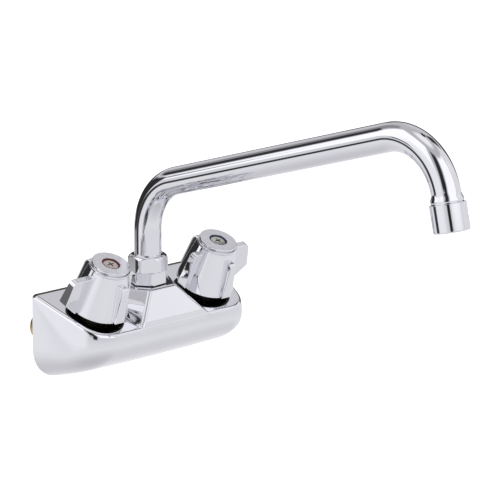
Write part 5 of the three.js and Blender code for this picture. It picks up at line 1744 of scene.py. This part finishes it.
def studio_light(tree):
    """The colour that a mirror sees in each direction: the room with its boxes and cards."""
    x, y, z = axes(tree, "Generated")
    azimuth = arithmetic(tree, "ARCTAN2", x, arithmetic(tree, "MULTIPLY", y, -1.0))
    elevation = arithmetic(tree, "ARCSINE", z)
    stops = [((sine + 1) / 2, shaded(ROOM_TINT, level)) for sine, level in ROOM_LEVELS]
    light = ramped(tree, ranged(tree, z, 0.0, 1.0, -1.0, 1.0), stops)
    for middle, half, height, half_height, soft, level in CARDS.values():
        across = window(tree, azimuth, middle, half, soft)
        upright = window(tree, elevation, height, half_height, soft)
        card = arithmetic(tree, "MULTIPLY", across, upright)
        light = mixed(tree, card, light, tuple(level * channel for channel in ROOM_TINT))
    return light


def add_world(s):
    """Soft even light; the camera sees white, and mirrors see the studio."""
    world = bpy.data.worlds.new("studio")
    bpy.context.scene.world = world
    world.use_nodes = True
    tree = world.node_tree
    rays = tree.nodes.new("ShaderNodeLightPath").outputs
    seen = mixed(tree, rays["Is Glossy Ray"], tuple(s.surround), studio_light(tree))
    seen = mixed(tree, rays["Is Camera Ray"], seen, WHITE)
    tree.links.new(seen, tree.nodes["Background"].inputs["Color"])


class FAUCET_OT_stage(bpy.types.Operator):
    """Set up the camera, the pale floor and the soft studio light"""

    bl_idname = "faucet.stage"
    bl_label = "Stage"

    def execute(self, context):
        s = settings().stage
        add_camera(s)
        add_floor(s)
        add_world(s)
        for name, (place, side, watts) in LAMPS.items():
            add_lamp(name, place, side, watts)
        context.scene.view_settings.view_transform = "Standard"
        return {"FINISHED"}


# ------------------------------------------------------------------ panel and main

BUILD_STEPS = (
    "body",
    "handles",
    "spout_joint",
    "spout",
    "aerator",
    "inlets",
    "inner_pieces",
    "stage",
)


class VIEW3D_PT_faucet(bpy.types.Panel):
    """Buttons for the pieces of the faucet."""

    bl_label = "Wall Faucet"
    bl_idname = "VIEW3D_PT_faucet"
    bl_space_type = "VIEW_3D"
    bl_region_type = "UI"
    bl_category = "Wall Faucet"

    def draw(self, context):
        for step in BUILD_STEPS:
            self.layout.operator("faucet." + step)


CLASSES = (
    BodySizes,
    HandleSizes,
    SpoutSizes,
    AeratorSizes,
    InletSizes,
    FinishColours,
    StageSettings,
    TapSettings,
    FAUCET_OT_body,
    FAUCET_OT_handles,
    FAUCET_OT_spout_joint,
    FAUCET_OT_spout,
    FAUCET_OT_aerator,
    FAUCET_OT_inlets,
    FAUCET_OT_inner_pieces,
    FAUCET_OT_stage,
    VIEW3D_PT_faucet,
)


def register():
    """Registers the classes and hangs the settings on the scene."""
    for item in CLASSES:
        bpy.utils.register_class(item)
    bpy.types.Scene.wall_faucet = group("Wall Faucet", TapSettings)


def unregister():
    """Takes the settings and the classes away again."""
    del bpy.types.Scene.wall_faucet
    for item in reversed(CLASSES):
        bpy.utils.unregister_class(item)


def main():
    """Registers the add-on and builds every piece."""
    register()
    for step in BUILD_STEPS:
        getattr(bpy.ops.faucet, step)()


if __name__ == "__main__":
    main()
